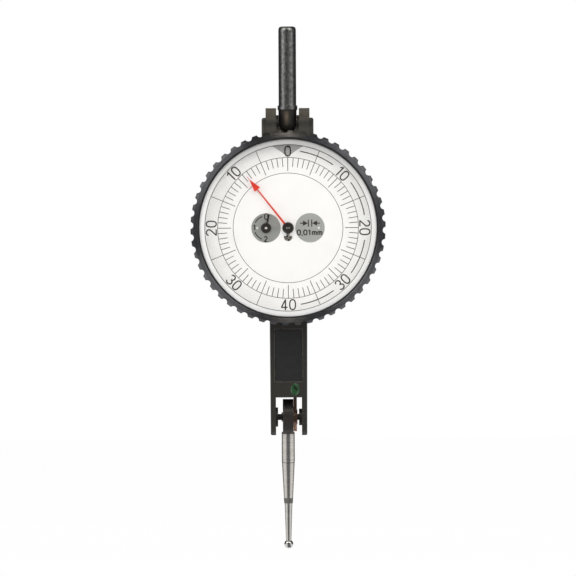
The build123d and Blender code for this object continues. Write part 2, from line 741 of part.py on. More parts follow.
def make_adjusting_screw():
    screw = adjuster_rod(ADJUSTER_RADIUS - SEAT, ADJUSTER_TOP, ADJUSTER_FLOOR)
    place = Pos(ADJUSTER_X, -NECK_DEPTH / 2, -ADJUSTER_REACH) * Rot(-90 - ADJUSTER_SLANT, 0, 0)
    slot = Box(SCREW_SLOT, 3 * ADJUSTER_RADIUS, 2 * SCREW_SLOT_DEPTH)
    return screw - NECK * place * Pos(0, 0, ADJUSTER_TOP) * Rot(0, 0, ADJUSTER_SLOT_TURN) * slot


# Bezel, crystal and their rings
def make_bezel():
    groove = SPRING_RING_WIRE / 2 + SLIDING
    profile = [
        (BORE_RADIUS, BEZEL_BACK),
        (BEZEL_RADIUS - BEZEL_BACK_STEP, BEZEL_BACK),
        (BEZEL_RADIUS, BEZEL_BACK - BEZEL_BACK_TAPER),
        (BEZEL_RADIUS, BEZEL_FRONT + BEZEL_FRONT_TAPER),
        (BEZEL_RADIUS - BEZEL_FRONT_STEP, BEZEL_FRONT),
        (SEAT_RADIUS + GASKET_WIDTH, BEZEL_FRONT),
        (SEAT_RADIUS + GASKET_WIDTH, GASKET_BACK),
        (SEAT_RADIUS, GASKET_BACK),
        (SEAT_RADIUS, LEDGE),
        (BORE_RADIUS, LEDGE),
        (BORE_RADIUS, SPRING_RING_Y - groove),
        (DRUM_RADIUS + groove, SPRING_RING_Y - groove),
        (DRUM_RADIUS + groove, SPRING_RING_Y + groove),
        (BORE_RADIUS, SPRING_RING_Y + groove),
    ]
    ring = turned_y(profile)
    half = FLUTE_WIDTH / 2
    scoop = (half * half + FLUTE_DEPTH * FLUTE_DEPTH) / (2 * FLUTE_DEPTH)
    centre = BEZEL_RADIUS - FLUTE_DEPTH + scoop
    rim = Circle(BEZEL_RADIUS + OVERRUN)
    rim -= [Pos(*polar(centre, FLUTE_PHASE + 360 / FLUTES * n)) * Circle(scoop) for n in range(FLUTES)]
    return ring & extrude(facing(BEZEL_FRONT) * rim, BEZEL_BACK - BEZEL_FRONT)


def make_crystal():
    inner = CRYSTAL_RADIUS - CRYSTAL_WALL
    return turned_y([
        (0, CRYSTAL_BACK),
        (inner, CRYSTAL_BACK),
        (inner, DIAL_FRONT),
        (CRYSTAL_RADIUS, DIAL_FRONT),
        (CRYSTAL_RADIUS, CRYSTAL_FRONT + CRYSTAL_BEVEL),
        (inner, CRYSTAL_FRONT),
        (0, CRYSTAL_FRONT),
    ])


def make_gasket():
    return turned_y([
        (CRYSTAL_RADIUS, GASKET_BACK),
        (SEAT_RADIUS + GASKET_WIDTH, GASKET_BACK),
        (SEAT_RADIUS + GASKET_WIDTH, GASKET_FRONT),
        (CRYSTAL_RADIUS + GASKET_EDGE, GASKET_FRONT),
        (CRYSTAL_RADIUS, CRYSTAL_FRONT + CRYSTAL_BEVEL),
    ])


def make_scale_ring():
    inner = CENTRE_RADIUS + RING_GAP
    return turned_y([
        (inner, LEDGE),
        (CRYSTAL_RADIUS, LEDGE),
        (CRYSTAL_RADIUS, DIAL_FRONT),
        (inner, DIAL_FRONT),
    ])


def make_spring_ring():
    """Open ring of square wire, with its gap at the bottom."""
    half = SPRING_RING_WIRE / 2
    ring = band(DRUM_RADIUS - half, DRUM_RADIUS + half, SPRING_RING_Y, half)
    side = DRUM_RADIUS * math.sin(math.radians(SPRING_RING_GAP / 2))
    deep = (SPRING_RING_Y - half, SPRING_RING_Y + half)
    return ring - block((-side, side), deep, (DIAL_Z - 2 * DRUM_RADIUS, DIAL_Z))


def make_seal():
    return band(DRUM_RADIUS - SEAL_WIRE, DRUM_RADIUS, SEAL_Y, SEAL_WIRE / 2)


# Dial, movement plate and bearings
def make_centre_dial():
    dial = rod_y(CENTRE_RADIUS, DIAL_FRONT, DIAL_BACK, 0, DIAL_Z)
    for x in (COUNTER_X, -COUNTER_X):
        dial -= rod_y(SUNK_RADIUS, DIAL_FRONT, DIAL_FRONT + SUNK_DEPTH, x, DIAL_Z)
    for x, z in foot_places():
        dial += rod_y(FOOT_RADIUS, DIAL_BACK, DIAL_BACK + FOOT_LENGTH, x, z)
    dial -= rod_y(ARBOR_RADIUS + ARBOR_ROOM, DIAL_FRONT, DIAL_BACK, COUNTER_X, DIAL_Z)
    dial -= rod_y(CENTRE_HOLE_RADIUS, DIAL_FRONT, DIAL_BACK, 0, DIAL_Z)
    neck = WINDOW_NECK / 2
    dial -= block((-neck, neck), (DIAL_FRONT, DIAL_BACK), (DIAL_Z - WINDOW_DROP, DIAL_Z))
    moon = rod_y(WINDOW_RADIUS, DIAL_FRONT, DIAL_BACK, 0, DIAL_Z - WINDOW_DROP)
    low = DIAL_Z - 2 * WINDOW_DROP
    moon &= block((-WINDOW_RADIUS, WINDOW_RADIUS), (DIAL_FRONT, DIAL_BACK), (low, DIAL_Z - WINDOW_TOP))
    return dial - moon


def make_movement_plate():
    plate = rod_y(PLATE_RADIUS, DIAL_BACK, PLATE_BACK, 0, DIAL_Z)
    for x, z in pillar_places():
        plate -= rod_y(PLATE_SCREW_HEAD + SEAT, DIAL_BACK, DIAL_BACK + HEAD_HEIGHT, x, z)
        plate -= rod_y(PLATE_SCREW_RADIUS + SEAT, DIAL_BACK, PLATE_BACK, x, z)
    for x in (0, COUNTER_X):
        plate -= rod_y(JEWEL_RADIUS, PLATE_BACK - JEWEL_THICK, PLATE_BACK, x, DIAL_Z)
        plate -= rod_y(ARBOR_RADIUS + ARBOR_ROOM, DIAL_BACK, PLATE_BACK, x, DIAL_Z)
    for x, z in foot_places():
        plate -= rod_y(FOOT_RADIUS + SEAT, DIAL_BACK, PLATE_BACK, x, z)
    z = DIAL_Z - WINDOW_SCREW_DROP
    plate -= rod_y(WINDOW_SCREW_RADIUS + SEAT, DIAL_BACK, DIAL_BACK + HEAD_HEIGHT, 0, z)
    plate -= rod_y(PLATE_SCREW_RADIUS, DIAL_BACK, PLATE_BACK, 0, z)
    return plate


def make_plate_screws():
    screws = []
    for x, z in pillar_places():
        screws.append(screw_y(PLATE_SCREW_RADIUS, PLATE_SCREW_HEAD, DIAL_BACK, PLATE_SCREW_LENGTH, x, z))
    return Compound(screws)


def make_window_screw():
    z = DIAL_Z - WINDOW_SCREW_DROP
    return screw_y(PLATE_SCREW_RADIUS, WINDOW_SCREW_RADIUS, DIAL_BACK, WINDOW_SCREW_LENGTH, 0, z)


def make_jewels():
    jewels = []
    for x in (0, COUNTER_X):
        for back in (DRUM_FLOOR + JEWEL_THICK, PLATE_BACK):
            ring = rod_y(JEWEL_RADIUS, back - JEWEL_THICK, back, x, DIAL_Z)
            jewels.append(ring - rod_y(PIVOT_RADIUS + RUNNING, back - JEWEL_THICK, back, x, DIAL_Z))
    for side in (-1, 1):
        inner = side * CAVITY_WIDTH / 2
        outer = inner + side * JEWEL_THICK
        ring = rod_x(JEWEL_RADIUS, inner, outer, CROWN_Y, DIAL_Z)
        jewels.append(ring - rod_x(PIVOT_RADIUS + RUNNING, inner, outer, CROWN_Y, DIAL_Z))
    return Compound(jewels)


def make_bearing_plugs():
    plugs = []
    for side in (-1, 1):
        inner = side * (CAVITY_WIDTH / 2 + JEWEL_THICK)
        outer = side * (BODY_WIDTH / 2 - PLUG_SINK)
        plug = rod_x(JEWEL_RADIUS, inner, outer, CROWN_Y, DIAL_Z)
        half = SCREW_SLOT / 2
        limits = (outer - side * SCREW_SLOT_DEPTH, outer)
        slot = block(limits, (CROWN_Y - JEWEL_RADIUS, CROWN_Y + JEWEL_RADIUS), (DIAL_Z - half, DIAL_Z + half))
        plugs.append(plug - slot)
    return Compound(plugs)


# Hands and the train behind the dial
def make_pointer_hand():
    root = NEEDLE_ROOT_WIDTH / 2
    neck = NEEDLE_END_WIDTH / 2
    arrow = ARROW_WIDTH / 2
    end = POINTER_END_WIDTH / 2
    right = [
        (POINTER_HUB_RADIUS - HAND_BITE, root),
        (ARROW_BASE, neck),
        (ARROW_BASE, arrow),
        (ARROW_TIP, end),
        (POINTER_REACH, end / 2),
    ]
    left = [(reach, -half) for reach, half in reversed(right)]
    face = Rot(0, 0, POINTER_REST) * make_face(Polyline(*right, *left, close=True))
    return extrude(facing(HAND_Y) * face, HAND_THICK)


def make_hub(x, radius, back, front):
    """Bevelled hub of a hand, with a bore for its arbor."""
    hub = rod_y(radius, front, back, x, DIAL_Z)
    rim = hub.faces().sort_by(Axis.Y)[0].edges()
    return chamfer(rim, HUB_BEVEL) - rod_y(PIVOT_RADIUS, front, back, x, DIAL_Z)


def make_pointer_hub():
    hub = make_hub(0, POINTER_HUB_RADIUS, POINTER_HUB_BACK, POINTER_HUB_FRONT)
    return hub - make_pointer_hand()


def centre_pinion_limits():
    """Back and front of the pinion that meets the crown wheel."""
    middle = CROWN_Y - CROWN_RADIUS
    return middle + PINION_WIDTH / 2, middle - PINION_WIDTH / 2


def make_pointer_arbor():
    back, front = centre_pinion_limits()
    arbor = rod_y(PIVOT_RADIUS, POINTER_HUB_FRONT - ARBOR_TIP, back, 0, DIAL_Z)
    arbor += rod_y(ARBOR_RADIUS, DRUM_FLOOR - END_PLAY, PLATE_BACK + END_PLAY, 0, DIAL_Z)
    gap = 90 + 180 / CENTRE_PINION_TEETH - POINTER_TRAVEL / 2
    face = gear_face(CENTRE_PINION_TEETH, CROWN_MODULE, gap - 180)
    return arbor + extrude(facing(front) * face, PINION_WIDTH)


def make_counter_pinion():
    gap = -90 + 180 / COUNTER_PINION_TEETH - POINTER_TRAVEL / 2
    face = gear_face(COUNTER_PINION_TEETH, COUNTER_MODULE, gap)
    front = COUNTER_GEAR_Y - COUNTER_PINION_EXTRA / 2
    pinion = extrude(facing(front) * face, GEAR_THICK + COUNTER_PINION_EXTRA)
    return pinion - rod_y(ARBOR_RADIUS, PLATE_BACK, DRUM_FLOOR, 0, DIAL_Z)


def make_counter_wheel():
    first = 90 + POINTER_TRAVEL / 2 * COUNTER_RATIO
    face = gear_face(COUNTER_TEETH, COUNTER_MODULE, first)
    wheel = extrude(facing(COUNTER_GEAR_Y, COUNTER_X) * face, GEAR_THICK)
    for number in range(WHEEL_WINDOWS):
        up, right = polar(WHEEL_WINDOW_CIRCLE, 360 / WHEEL_WINDOWS * (number + 0.5))
        wheel -= rod_y(WHEEL_WINDOW_RADIUS, PLATE_BACK, DRUM_FLOOR, COUNTER_X + right, DIAL_Z + up)
    return wheel - rod_y(ARBOR_RADIUS, PLATE_BACK, DRUM_FLOOR, COUNTER_X, DIAL_Z)


def make_counter_arbor():
    end = DRUM_FLOOR + JEWEL_THICK
    arbor = rod_y(PIVOT_RADIUS, COUNTER_HUB_FRONT - ARBOR_TIP, end, COUNTER_X, DIAL_Z)
    return arbor + rod_y(ARBOR_RADIUS, DRUM_FLOOR - END_PLAY, PLATE_BACK + END_PLAY, COUNTER_X, DIAL_Z)


def make_counter_hand():
    half = COUNTER_HAND_WIDTH / 2
    root = COUNTER_HUB_RADIUS - HAND_BITE
    points = [(root, half), (COUNTER_HAND_LENGTH, half), (COUNTER_HAND_LENGTH, -half), (root, -half)]
    face = Rot(0, 0, COUNTER_REST) * make_face(Polyline(*points, close=True))
    return extrude(facing(COUNTER_HAND_Y, COUNTER_X) * face, HAND_THICK)


def make_counter_hub():
    hub = make_hub(COUNTER_X, COUNTER_HUB_RADIUS, COUNTER_HUB_BACK, COUNTER_HUB_FRONT)
    return hub - make_counter_hand()


def make_collet():
    limits = (SPRING_FRONT - COLLET_EXTRA, SPRING_BACK + COLLET_EXTRA)
    return rod_y(COLLET_RADIUS, *limits, 0, DIAL_Z) - rod_y(ARBOR_RADIUS, *limits, 0, DIAL_Z)


def spiral(offset):
    """Points along the hairspring, with the radius growing evenly from turn to turn."""
    points = []
    steps = 12 * SPRING_TURNS
    for number in range(steps + 1):
        share = number / steps
        radius = SPRING_INNER + (SPRING_OUTER - SPRING_INNER) * share + offset
        points.append(polar(radius, 360 * SPRING_TURNS * share))
    return points


def make_hairspring():
    inner = spiral(0)
    outer = spiral(SPRING_STRIP)
    edges = [Spline(*inner), Spline(*outer), Line(inner[0], outer[0]), Line(inner[-1], outer[-1])]
    return extrude(facing(SPRING_FRONT) * make_face(edges), SPRING_WIDTH)


def make_hairspring_stud():
    """Square block on the drum's floor, round the hairspring's outer end."""
    middle = DIAL_Z + SPRING_OUTER + SPRING_STRIP / 2
    half = STUD_SIZE / 2
    deep = (SPRING_FRONT - COLLET_EXTRA, DRUM_FLOOR)
    return block((-half, half), deep, (middle - half, middle + half)) - make_hairspring()


# Crown wheel and its arbor
def crown_rest():
    """Angle by which the crown arbor has turned about X from mid travel, at rest."""
    return CROWN_SWING / 2


def make_crown_wheel():
    """Wheel with teeth on its right-hand face, which meet the centre pinion from the left."""
    tip = -CENTRE_PINION_RADIUS + ADDENDUM * CROWN_MODULE
    root = -CENTRE_PINION_RADIUS - DEDENDUM * CROWN_MODULE
    inner = CROWN_RADIUS - CROWN_FACE / 2
    outer = CROWN_RADIUS + CROWN_FACE / 2
    back = root - GEAR_THICK
    wheel = rod_x(outer, back, root, CROWN_Y, DIAL_Z)
    pitch = 2 * math.pi * CROWN_RADIUS / CROWN_TEETH
    half = TOOTH_SHARE * pitch / 2
    wide = TOOTH_ROOT_SPREAD * half
    narrow = TOOTH_TIP_SPREAD * half
    side = [(root, -wide), (tip, -narrow), (tip, narrow), (root, wide)]
    tooth = make_face(Polyline(*[(x, inner, z) for x, z in side], close=True))
    tooth = extrude(tooth, CROWN_FACE, dir=(0, 1, 0))
    teeth = []
    for number in range(CROWN_TEETH):
        turn = 180 + crown_rest() + 360 / CROWN_TEETH * number
        teeth.append(Pos(0, CROWN_Y, DIAL_Z) * Rot(turn, 0, 0) * tooth)
    wheel = wheel + teeth
    for number in range(CROWN_WINDOWS):
        up, right = polar(CROWN_WINDOW_CIRCLE, 360 / CROWN_WINDOWS * number)
        wheel -= rod_x(CROWN_WINDOW_RADIUS, back, tip, CROWN_Y + right, DIAL_Z + up)
    return wheel - rod_x(ARBOR_RADIUS, back, tip, CROWN_Y, DIAL_Z)


def make_crown_arbor():
    wall = CAVITY_WIDTH / 2
    arbor = rod_x(ARBOR_RADIUS, -wall + SLIDING, wall - SLIDING, CROWN_Y, DIAL_Z)
    end = wall + JEWEL_THICK - SLIDING
    arbor += rod_x(PIVOT_RADIUS, -end, end, CROWN_Y, DIAL_Z)
    towards = math.degrees(math.atan2(SEGMENT_Z - DIAL_Z, SEGMENT_Y - CROWN_Y))
    face = gear_face(CROWN_PINION_TEETH, FINE_MODULE, towards + crown_rest())
    middle = SEGMENT_LEFT + SEGMENT_THICK / 2
    return arbor + extrude(across(middle - PINION_WIDTH / 2, CROWN_Y, DIAL_Z) * face, PINION_WIDTH)


# Segment lever
def make_segment_lever():
    towards = math.degrees(math.atan2(DIAL_Z - SEGMENT_Z, CROWN_Y - SEGMENT_Y))
    tail = -90 + NECK_TILT
    step = 360 / SECTOR_TEETH_FULL
    points = []
    for number in range(SECTOR_TEETH):
        middle = towards + (number - (SECTOR_TEETH - 1) / 2) * step
        points += tooth_points(SECTOR_RADIUS, FINE_MODULE, step, middle)
    inner = SECTOR_RADIUS - SECTOR_RIM
    half = SECTOR_TEETH / 2 * step
    points += [polar(inner, towards + half), polar(inner, towards), polar(inner, towards - half)]
    lever = make_face(Polyline(*points, close=True))

    # Arm up to the toothed rim
    reach = inner + SECTOR_RIM / 2
    root = SEGMENT_ARM_WIDTH / 2
    tip = SEGMENT_ARM_END / 2
    arm = Polyline((0, -root), (reach, -tip), (reach, tip), (0, root), close=True)
    lever += Rot(0, 0, towards) * make_face(arm)

    # Tail with the two prongs that hold the lever pin
    slot = LEVER_PIN_RADIUS + SEAT
    wide = slot + PRONG_WIDTH
    end = LEVER_TAIL_ARM + PRONG_END
    tail_face = make_face(Polyline((0, -root), (end, -wide), (end, wide), (0, root), close=True))
    notch = Rectangle(PRONG_DEPTH + PRONG_END, 2 * slot)
    notch = Pos(LEVER_TAIL_ARM + (PRONG_END - PRONG_DEPTH) / 2, 0) * notch
    lever += Rot(0, 0, tail) * (tail_face - notch)
    turn = Rot(0, 0, -SEGMENT_SWING / 2)
    plate = extrude(across(SEGMENT_LEFT, SEGMENT_Y, SEGMENT_Z) * turn * lever, SEGMENT_THICK)

    # Tube that runs on the segment pin
    wall = CAVITY_WIDTH / 2
    plate += rod_x(SEGMENT_TUBE, SEGMENT_LEFT - SEGMENT_TUBE_LEFT, wall - SLIDING, SEGMENT_Y, SEGMENT_Z)
    return plate - rod_x(SEGMENT_PIN_RADIUS + RUNNING, -wall, wall, SEGMENT_Y, SEGMENT_Z)


def make_segment_pin():
    end = BODY_WIDTH / 2 - SEGMENT_PIN_SINK
    return rod_x(SEGMENT_PIN_RADIUS, -end, end, SEGMENT_Y, SEGMENT_Z)


# Measuring lever in the fork
def make_measuring_lever():
    """Flat lever that runs from below the axle up the neck to the segment lever."""
    top = LEVER_ARM + LEVER_END
    tail = LEVER_TAIL_WIDTH / 2
    waist = LEVER_WAIST / 2
    tip = LEVER_TIP_WIDTH / 2
    points = [(-LEVER_TAIL, tail), (LEVER_BOSS, waist), (top, tip)]
    points += [(reach, -half) for reach, half in reversed(points)]
    face = make_face(Polyline(*points, close=True)) + Circle(LEVER_BOSS)
    face = Rot(0, 0, 90 + NECK_TILT + LEVER_SWING / 2) * face
    lever = extrude(across(LEVER_LEFT, PIVOT_Y, PIVOT_Z) * face, LEVER_THICK)
    end = LEVER_RIGHT + LEVER_BOSS_STEP
    lever += rod_x(LEVER_BOSS, LEVER_RIGHT, end, PIVOT_Y, PIVOT_Z)
    y, z = lever_pin_place()
    lever -= rod_x(LEVER_PIN_RADIUS, LEVER_LEFT, LEVER_RIGHT, y, z)
    return lever - rod_x(AXLE_RADIUS, LEVER_LEFT, end, PIVOT_Y, PIVOT_Z)


def lever_pin_place():
    """Y and Z of the lever pin at rest, at the start of the lever's swing."""
    y, z = polar(LEVER_ARM, 90 + NECK_TILT + LEVER_SWING / 2)
    return PIVOT_Y + y, PIVOT_Z + z


def make_lever_pin():
    y, z = lever_pin_place()
    return rod_x(LEVER_PIN_RADIUS, LEVER_LEFT, SEGMENT_LEFT + SEGMENT_THICK + LEVER_PIN_PROUD, y, z)


def make_lever_axle():
    left = -FORK_SLOT / 2 + LEFT_FLANGE_THICK - AXLE_BITE
    right = FORK_SLOT / 2 - RIGHT_FLANGE_THICK + AXLE_BITE
    axle = rod_x(AXLE_RADIUS, left, right, PIVOT_Y, PIVOT_Z)
    collar = HUB_LEFT - SEAT
    return axle + rod_x(AXLE_COLLAR_RADIUS, collar - AXLE_COLLAR_WIDTH, collar, PIVOT_Y, PIVOT_Z)


def make_bush(side, flange_radius, flange_thick):
    """Flanged bush in one arm of the fork; the axle's end turns in it."""
    wall = side * FORK_SLOT / 2
    inner = wall - side * flange_thick
    outer = side * (NECK_END_WIDTH / 2 - BUSH_SINK)
    bush = rod_x(flange_radius, inner, wall, PIVOT_Y, PIVOT_Z)
    bush += rod_x(BUSH_RADIUS, wall, outer, PIVOT_Y, PIVOT_Z)
    bush -= rod_x(AXLE_RADIUS + RUNNING, inner, inner + side * (AXLE_BITE + SLIDING), PIVOT_Y, PIVOT_Z)
    half = BUSH_SLOT / 2
    limits = (outer - side * BUSH_SLOT_DEPTH, outer)
    slot = block(limits, (PIVOT_Y - BUSH_RADIUS, PIVOT_Y + BUSH_RADIUS), (PIVOT_Z - half, PIVOT_Z + half))
    return bush - slot


def make_stylus_hub():
    hub = rod_x(HUB_RADIUS, HUB_LEFT, HUB_RIGHT - SEAT, 0, 0)
    low = block((HUB_LEFT, HUB_RIGHT), (-HUB_RADIUS, HUB_RADIUS), (-2 * HUB_RADIUS, -SHOULDER_REACH))
    hub -= low
    hub -= rod_x(WASHER_RADIUS + SEAT, HUB_RIGHT - WASHER_THICK - SEAT, HUB_RIGHT, 0, 0)
    hub -= rod_x(AXLE_RADIUS + RUNNING, HUB_LEFT, HUB_RIGHT, 0, 0)
    stud = Cylinder(STYLUS_STUD_RADIUS, STYLUS_STUD_LENGTH)
    hub -= Pos(HUB_MIDDLE, 0, -SHOULDER_REACH + STYLUS_STUD_LENGTH / 2) * stud
    return NECK * Pos(0, 0, -PIVOT_REACH) * hub


def make_friction_washer():
    left = HUB_RIGHT - WASHER_THICK
    washer = rod_x(WASHER_RADIUS, left, HUB_RIGHT, PIVOT_Y, PIVOT_Z)
    return washer - rod_x(AXLE_RADIUS, left, HUB_RIGHT, PIVOT_Y, PIVOT_Z)


def make_stylus():
    """Turned stylus, drawn with its shoulder at height 0 and its tip pointing down."""
    ball = TIP_LENGTH - SHOULDER_REACH
    groove = STYLUS_SHANK + STYLUS_GROOVE_WIDTH
    profile = [
        (0, STYLUS_STUD_LENGTH),
        (STYLUS_STUD_RADIUS, STYLUS_STUD_LENGTH),
        (STYLUS_STUD_RADIUS, 0),
        (STYLUS_RADIUS - STYLUS_EDGE, 0),
        (STYLUS_RADIUS, -STYLUS_EDGE),
        (STYLUS_RADIUS, -STYLUS_SHANK),
        (STYLUS_RADIUS - STYLUS_GROOVE, -STYLUS_SHANK),
        (STYLUS_RADIUS - STYLUS_GROOVE, -groove),
        (STYLUS_RADIUS - STYLUS_GROOVE / 2, -groove),
        (STYLUS_WAIST_RADIUS, -STYLUS_WAIST),
        (STYLUS_STEP_RADIUS, -STYLUS_STEP),
        (STYLUS_CONE_RADIUS, -STYLUS_STEP - STYLUS_STEP_LENGTH),
        (STYLUS_END_RADIUS, -ball + CONTACT_RADIUS / 2),
        (0, -ball + CONTACT_RADIUS / 2),
    ]
    stylus = turned_z(profile)
    stylus -= Pos(0, 0, -ball) * Sphere(CONTACT_RADIUS)
    middle = (STYLUS_WAIST + STYLUS_STEP) / 2
    tall = STYLUS_STEP - STYLUS_WAIST
    for side in (-1, 1):
        place = Rot(0, 0, -FLATS_TURN) * Pos(0, side * (FLATS_ACROSS + STYLUS_RADIUS) / 2, -middle)
        stylus -= place * Box(2 * STYLUS_RADIUS, STYLUS_RADIUS, tall)
    return stylus_place() * stylus


def stylus_place():
    return NECK * Pos(HUB_MIDDLE, 0, -PIVOT_REACH - SHOULDER_REACH)


def make_contact_ball():
    return stylus_place() * Pos(0, 0, SHOULDER_REACH - TIP_LENGTH) * Sphere(CONTACT_RADIUS)


PIECES = {
    "stem": make_stem,
    "clamp_screws": make_clamp_screws,
    "case": make_case,
    "back_cover": make_back_cover,
    "back_cover_screws": make_back_cover_screws,
    "neck_cover": make_neck_cover,
    "adjusting_screw": make_adjusting_screw,
    "bezel": make_bezel,
    "crystal": make_crystal,
    "crystal_gasket": make_gasket,
    "scale_ring": make_scale_ring,
    "bezel_spring_ring": make_spring_ring,
    "bezel_seal": make_seal,
    "centre_dial": make_centre_dial,
    "movement_plate": make_movement_plate,
    "plate_screws": make_plate_screws,
    "window_screw": make_window_screw,
    "jewel_bearings": make_jewels,
    "bearing_plugs": make_bearing_plugs,
    "pointer_hand": make_pointer_hand,
    "pointer_hub": make_pointer_hub,
    "pointer_arbor": make_pointer_arbor,
    "counter_pinion": make_counter_pinion,
    "counter_wheel": make_counter_wheel,
    "counter_arbor": make_counter_arbor,
    "counter_hand": make_counter_hand,
    "counter_hub": make_counter_hub,
    "hairspring": make_hairspring,
    "hairspring_collet": make_collet,
    "hairspring_stud": make_hairspring_stud,
    "crown_wheel": make_crown_wheel,
    "crown_arbor": make_crown_arbor,
    "segment_lever": make_segment_lever,
    "segment_pin": make_segment_pin,
    "measuring_lever": make_measuring_lever,
    "lever_pin": make_lever_pin,
    "lever_axle": make_lever_axle,
    "left_bush": lambda: make_bush(-1, LEFT_FLANGE_RADIUS, LEFT_FLANGE_THICK),
    "right_bush": lambda: make_bush(1, RIGHT_FLANGE_RADIUS, RIGHT_FLANGE_THICK),
    "stylus_hub": make_stylus_hub,
    "friction_washer": make_friction_washer,
    "stylus": make_stylus,
    "contact_ball": make_contact_ball,
}

os.makedirs("parts", exist_ok=True)
for name, make in PIECES.items():
    export_step(make(), f"parts/{name}.step")
print("lever ratio", round(LEVER_RATIO, 4), "total ratio", round(TOTAL_RATIO, 4))
print("lever swing", round(LEVER_SWING, 4), "segment swing", round(SEGMENT_SWING, 4))
print("fork axle", round(PIVOT_Y, 4), round(PIVOT_Z, 4))
print("segment pin", round(SEGMENT_Y, 4), round(SEGMENT_Z, 4))
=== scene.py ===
# %% [markdown]
# # A dial test indicator
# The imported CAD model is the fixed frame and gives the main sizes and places. This lesson builds the
# visible surfaces round it, piece by piece, and gives each a finish made from nodes. The numbers are
# millimetres, which suit so small an object; a helper's last step turns them into Blender's metres.

# %% Load the frame
import math

import bmesh
import bpy
import numpy as np
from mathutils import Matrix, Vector


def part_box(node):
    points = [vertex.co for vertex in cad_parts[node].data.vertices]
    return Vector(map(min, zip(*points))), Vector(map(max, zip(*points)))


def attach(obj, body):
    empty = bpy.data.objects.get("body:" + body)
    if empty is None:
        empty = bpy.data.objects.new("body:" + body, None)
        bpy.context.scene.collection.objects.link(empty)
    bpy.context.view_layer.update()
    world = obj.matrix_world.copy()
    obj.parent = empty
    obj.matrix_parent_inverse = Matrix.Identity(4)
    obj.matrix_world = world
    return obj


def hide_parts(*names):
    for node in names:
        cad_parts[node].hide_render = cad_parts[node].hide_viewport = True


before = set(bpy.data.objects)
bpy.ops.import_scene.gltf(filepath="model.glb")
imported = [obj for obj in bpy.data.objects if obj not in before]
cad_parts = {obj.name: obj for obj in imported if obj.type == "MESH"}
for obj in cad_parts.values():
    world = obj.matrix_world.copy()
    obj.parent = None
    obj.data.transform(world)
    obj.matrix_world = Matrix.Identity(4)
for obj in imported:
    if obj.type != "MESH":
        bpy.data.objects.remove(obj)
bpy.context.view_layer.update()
MM = 0.001
print("nodes in the frame:", len(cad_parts))


def box_mm(node):
    """Lowest and highest corner of a CAD node, in millimetres."""
    low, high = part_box(node)
    return np.array(low) / MM, np.array(high) / MM


# %% [markdown]
# ## Places taken from the frame
# The dial turns about an axis along Y and faces -Y. The neck leans back by twelve degrees from the
# bar of the case, and everything in the fork is placed along that leaning line.

# %% Places
dial_low, _ = box_mm("centre_dial")
ring_low, ring_high = box_mm("scale_ring")
crystal_low, crystal_high = box_mm("crystal")
_, gasket_high = box_mm("crystal_gasket")
bezel_low, bezel_high = box_mm("bezel")
axle_low, axle_high = box_mm("lever_axle")
counter_low, counter_high = box_mm("counter_hub")
pointer_low, _ = box_mm("pointer_hub")
hub_low, hub_high = box_mm("stylus_hub")
ball_low, ball_high = box_mm("contact_ball")

DIAL_Z = (ring_low[2] + ring_high[2]) / 2
DIAL_FACE = dial_low[1]
COUNTER_X = (counter_low[0] + counter_high[0]) / 2
NECK_LEAN = math.radians(12)
NECK_DOWN = np.array([0, math.sin(NECK_LEAN), -math.cos(NECK_LEAN)])
NECK_FRONT = np.array([0, -math.cos(NECK_LEAN), -math.sin(NECK_LEAN)])
NECK_HALF = 3.6
NECK_ROOT = np.array([0, 0.6, -46.0])
PIVOT = (axle_low + axle_high) / 2
BALL = (ball_low + ball_high) / 2
BALL_RADIUS = (ball_high[0] - ball_low[0]) / 2
X_AXIS, Y_AXIS, Z_AXIS = np.eye(3)


def neck_place(x, depth, reach):
    """Points in the leaning frame of the neck: depth back from its middle plane, reach down along it."""
    x, depth, reach = (np.asarray(value, float)[..., None] for value in (x, depth, reach))
    return NECK_ROOT + x * X_AXIS - depth * NECK_FRONT + reach * NECK_DOWN


print("dial centre", round(DIAL_Z, 3), "pivot", PIVOT.round(3), "ball", BALL.round(3))

# %% [markdown]
# ## Surfaces from arrays
# A machined part is mostly turned or milled, so nearly every surface here is a grid: rows follow a
# profile and columns go round an axis or along a path. The whole grid is one array, and the faces
# join each point to its neighbours in the next row and column.

# %% Grid helpers
WELD, CREASE = 1e-7, math.radians(36)


def grid_faces(rows, columns, wrap_rows, wrap_columns):
    """Quads of a grid: (r, c), (r, c+1), (r+1, c+1), (r+1, c); a wrapped direction joins its last line to its first."""
    r, c = np.mgrid[: rows if wrap_rows else rows - 1, : columns if wrap_columns else columns - 1]
    down, across = (r + 1) % rows, (c + 1) % columns
    corners = [r * columns + c, r * columns + across, down * columns + across, down * columns + c]
    return np.stack(corners, axis=-1).reshape(-1, 4)


def add_object(name, data):
    """New object in the scene, made of a mesh, a lamp or a camera."""
    made = bpy.data.objects.new(name, data)
    bpy.context.scene.collection.objects.link(made)
    return made


def grid_piece(name, grid, wrap_rows=False, wrap_columns=True):
    """Mesh object from a rows by columns grid of points; those that coincide are welded, which closes the poles."""
    faces = grid_faces(*grid.shape[:2], wrap_rows, wrap_columns)
    mesh = bpy.data.meshes.new(name)
    mesh.from_pydata((grid.reshape(-1, 3) * MM).tolist(), [], faces.tolist())
    work = bmesh.new()
    work.from_mesh(mesh)
    bmesh.ops.remove_doubles(work, verts=work.verts, dist=WELD)
    bmesh.ops.recalc_face_normals(work, faces=work.faces)
    work.to_mesh(mesh)
    work.free()
    mesh.shade_smooth()
    mesh.set_sharp_from_angle(angle=CREASE)
    return add_object(name, mesh)


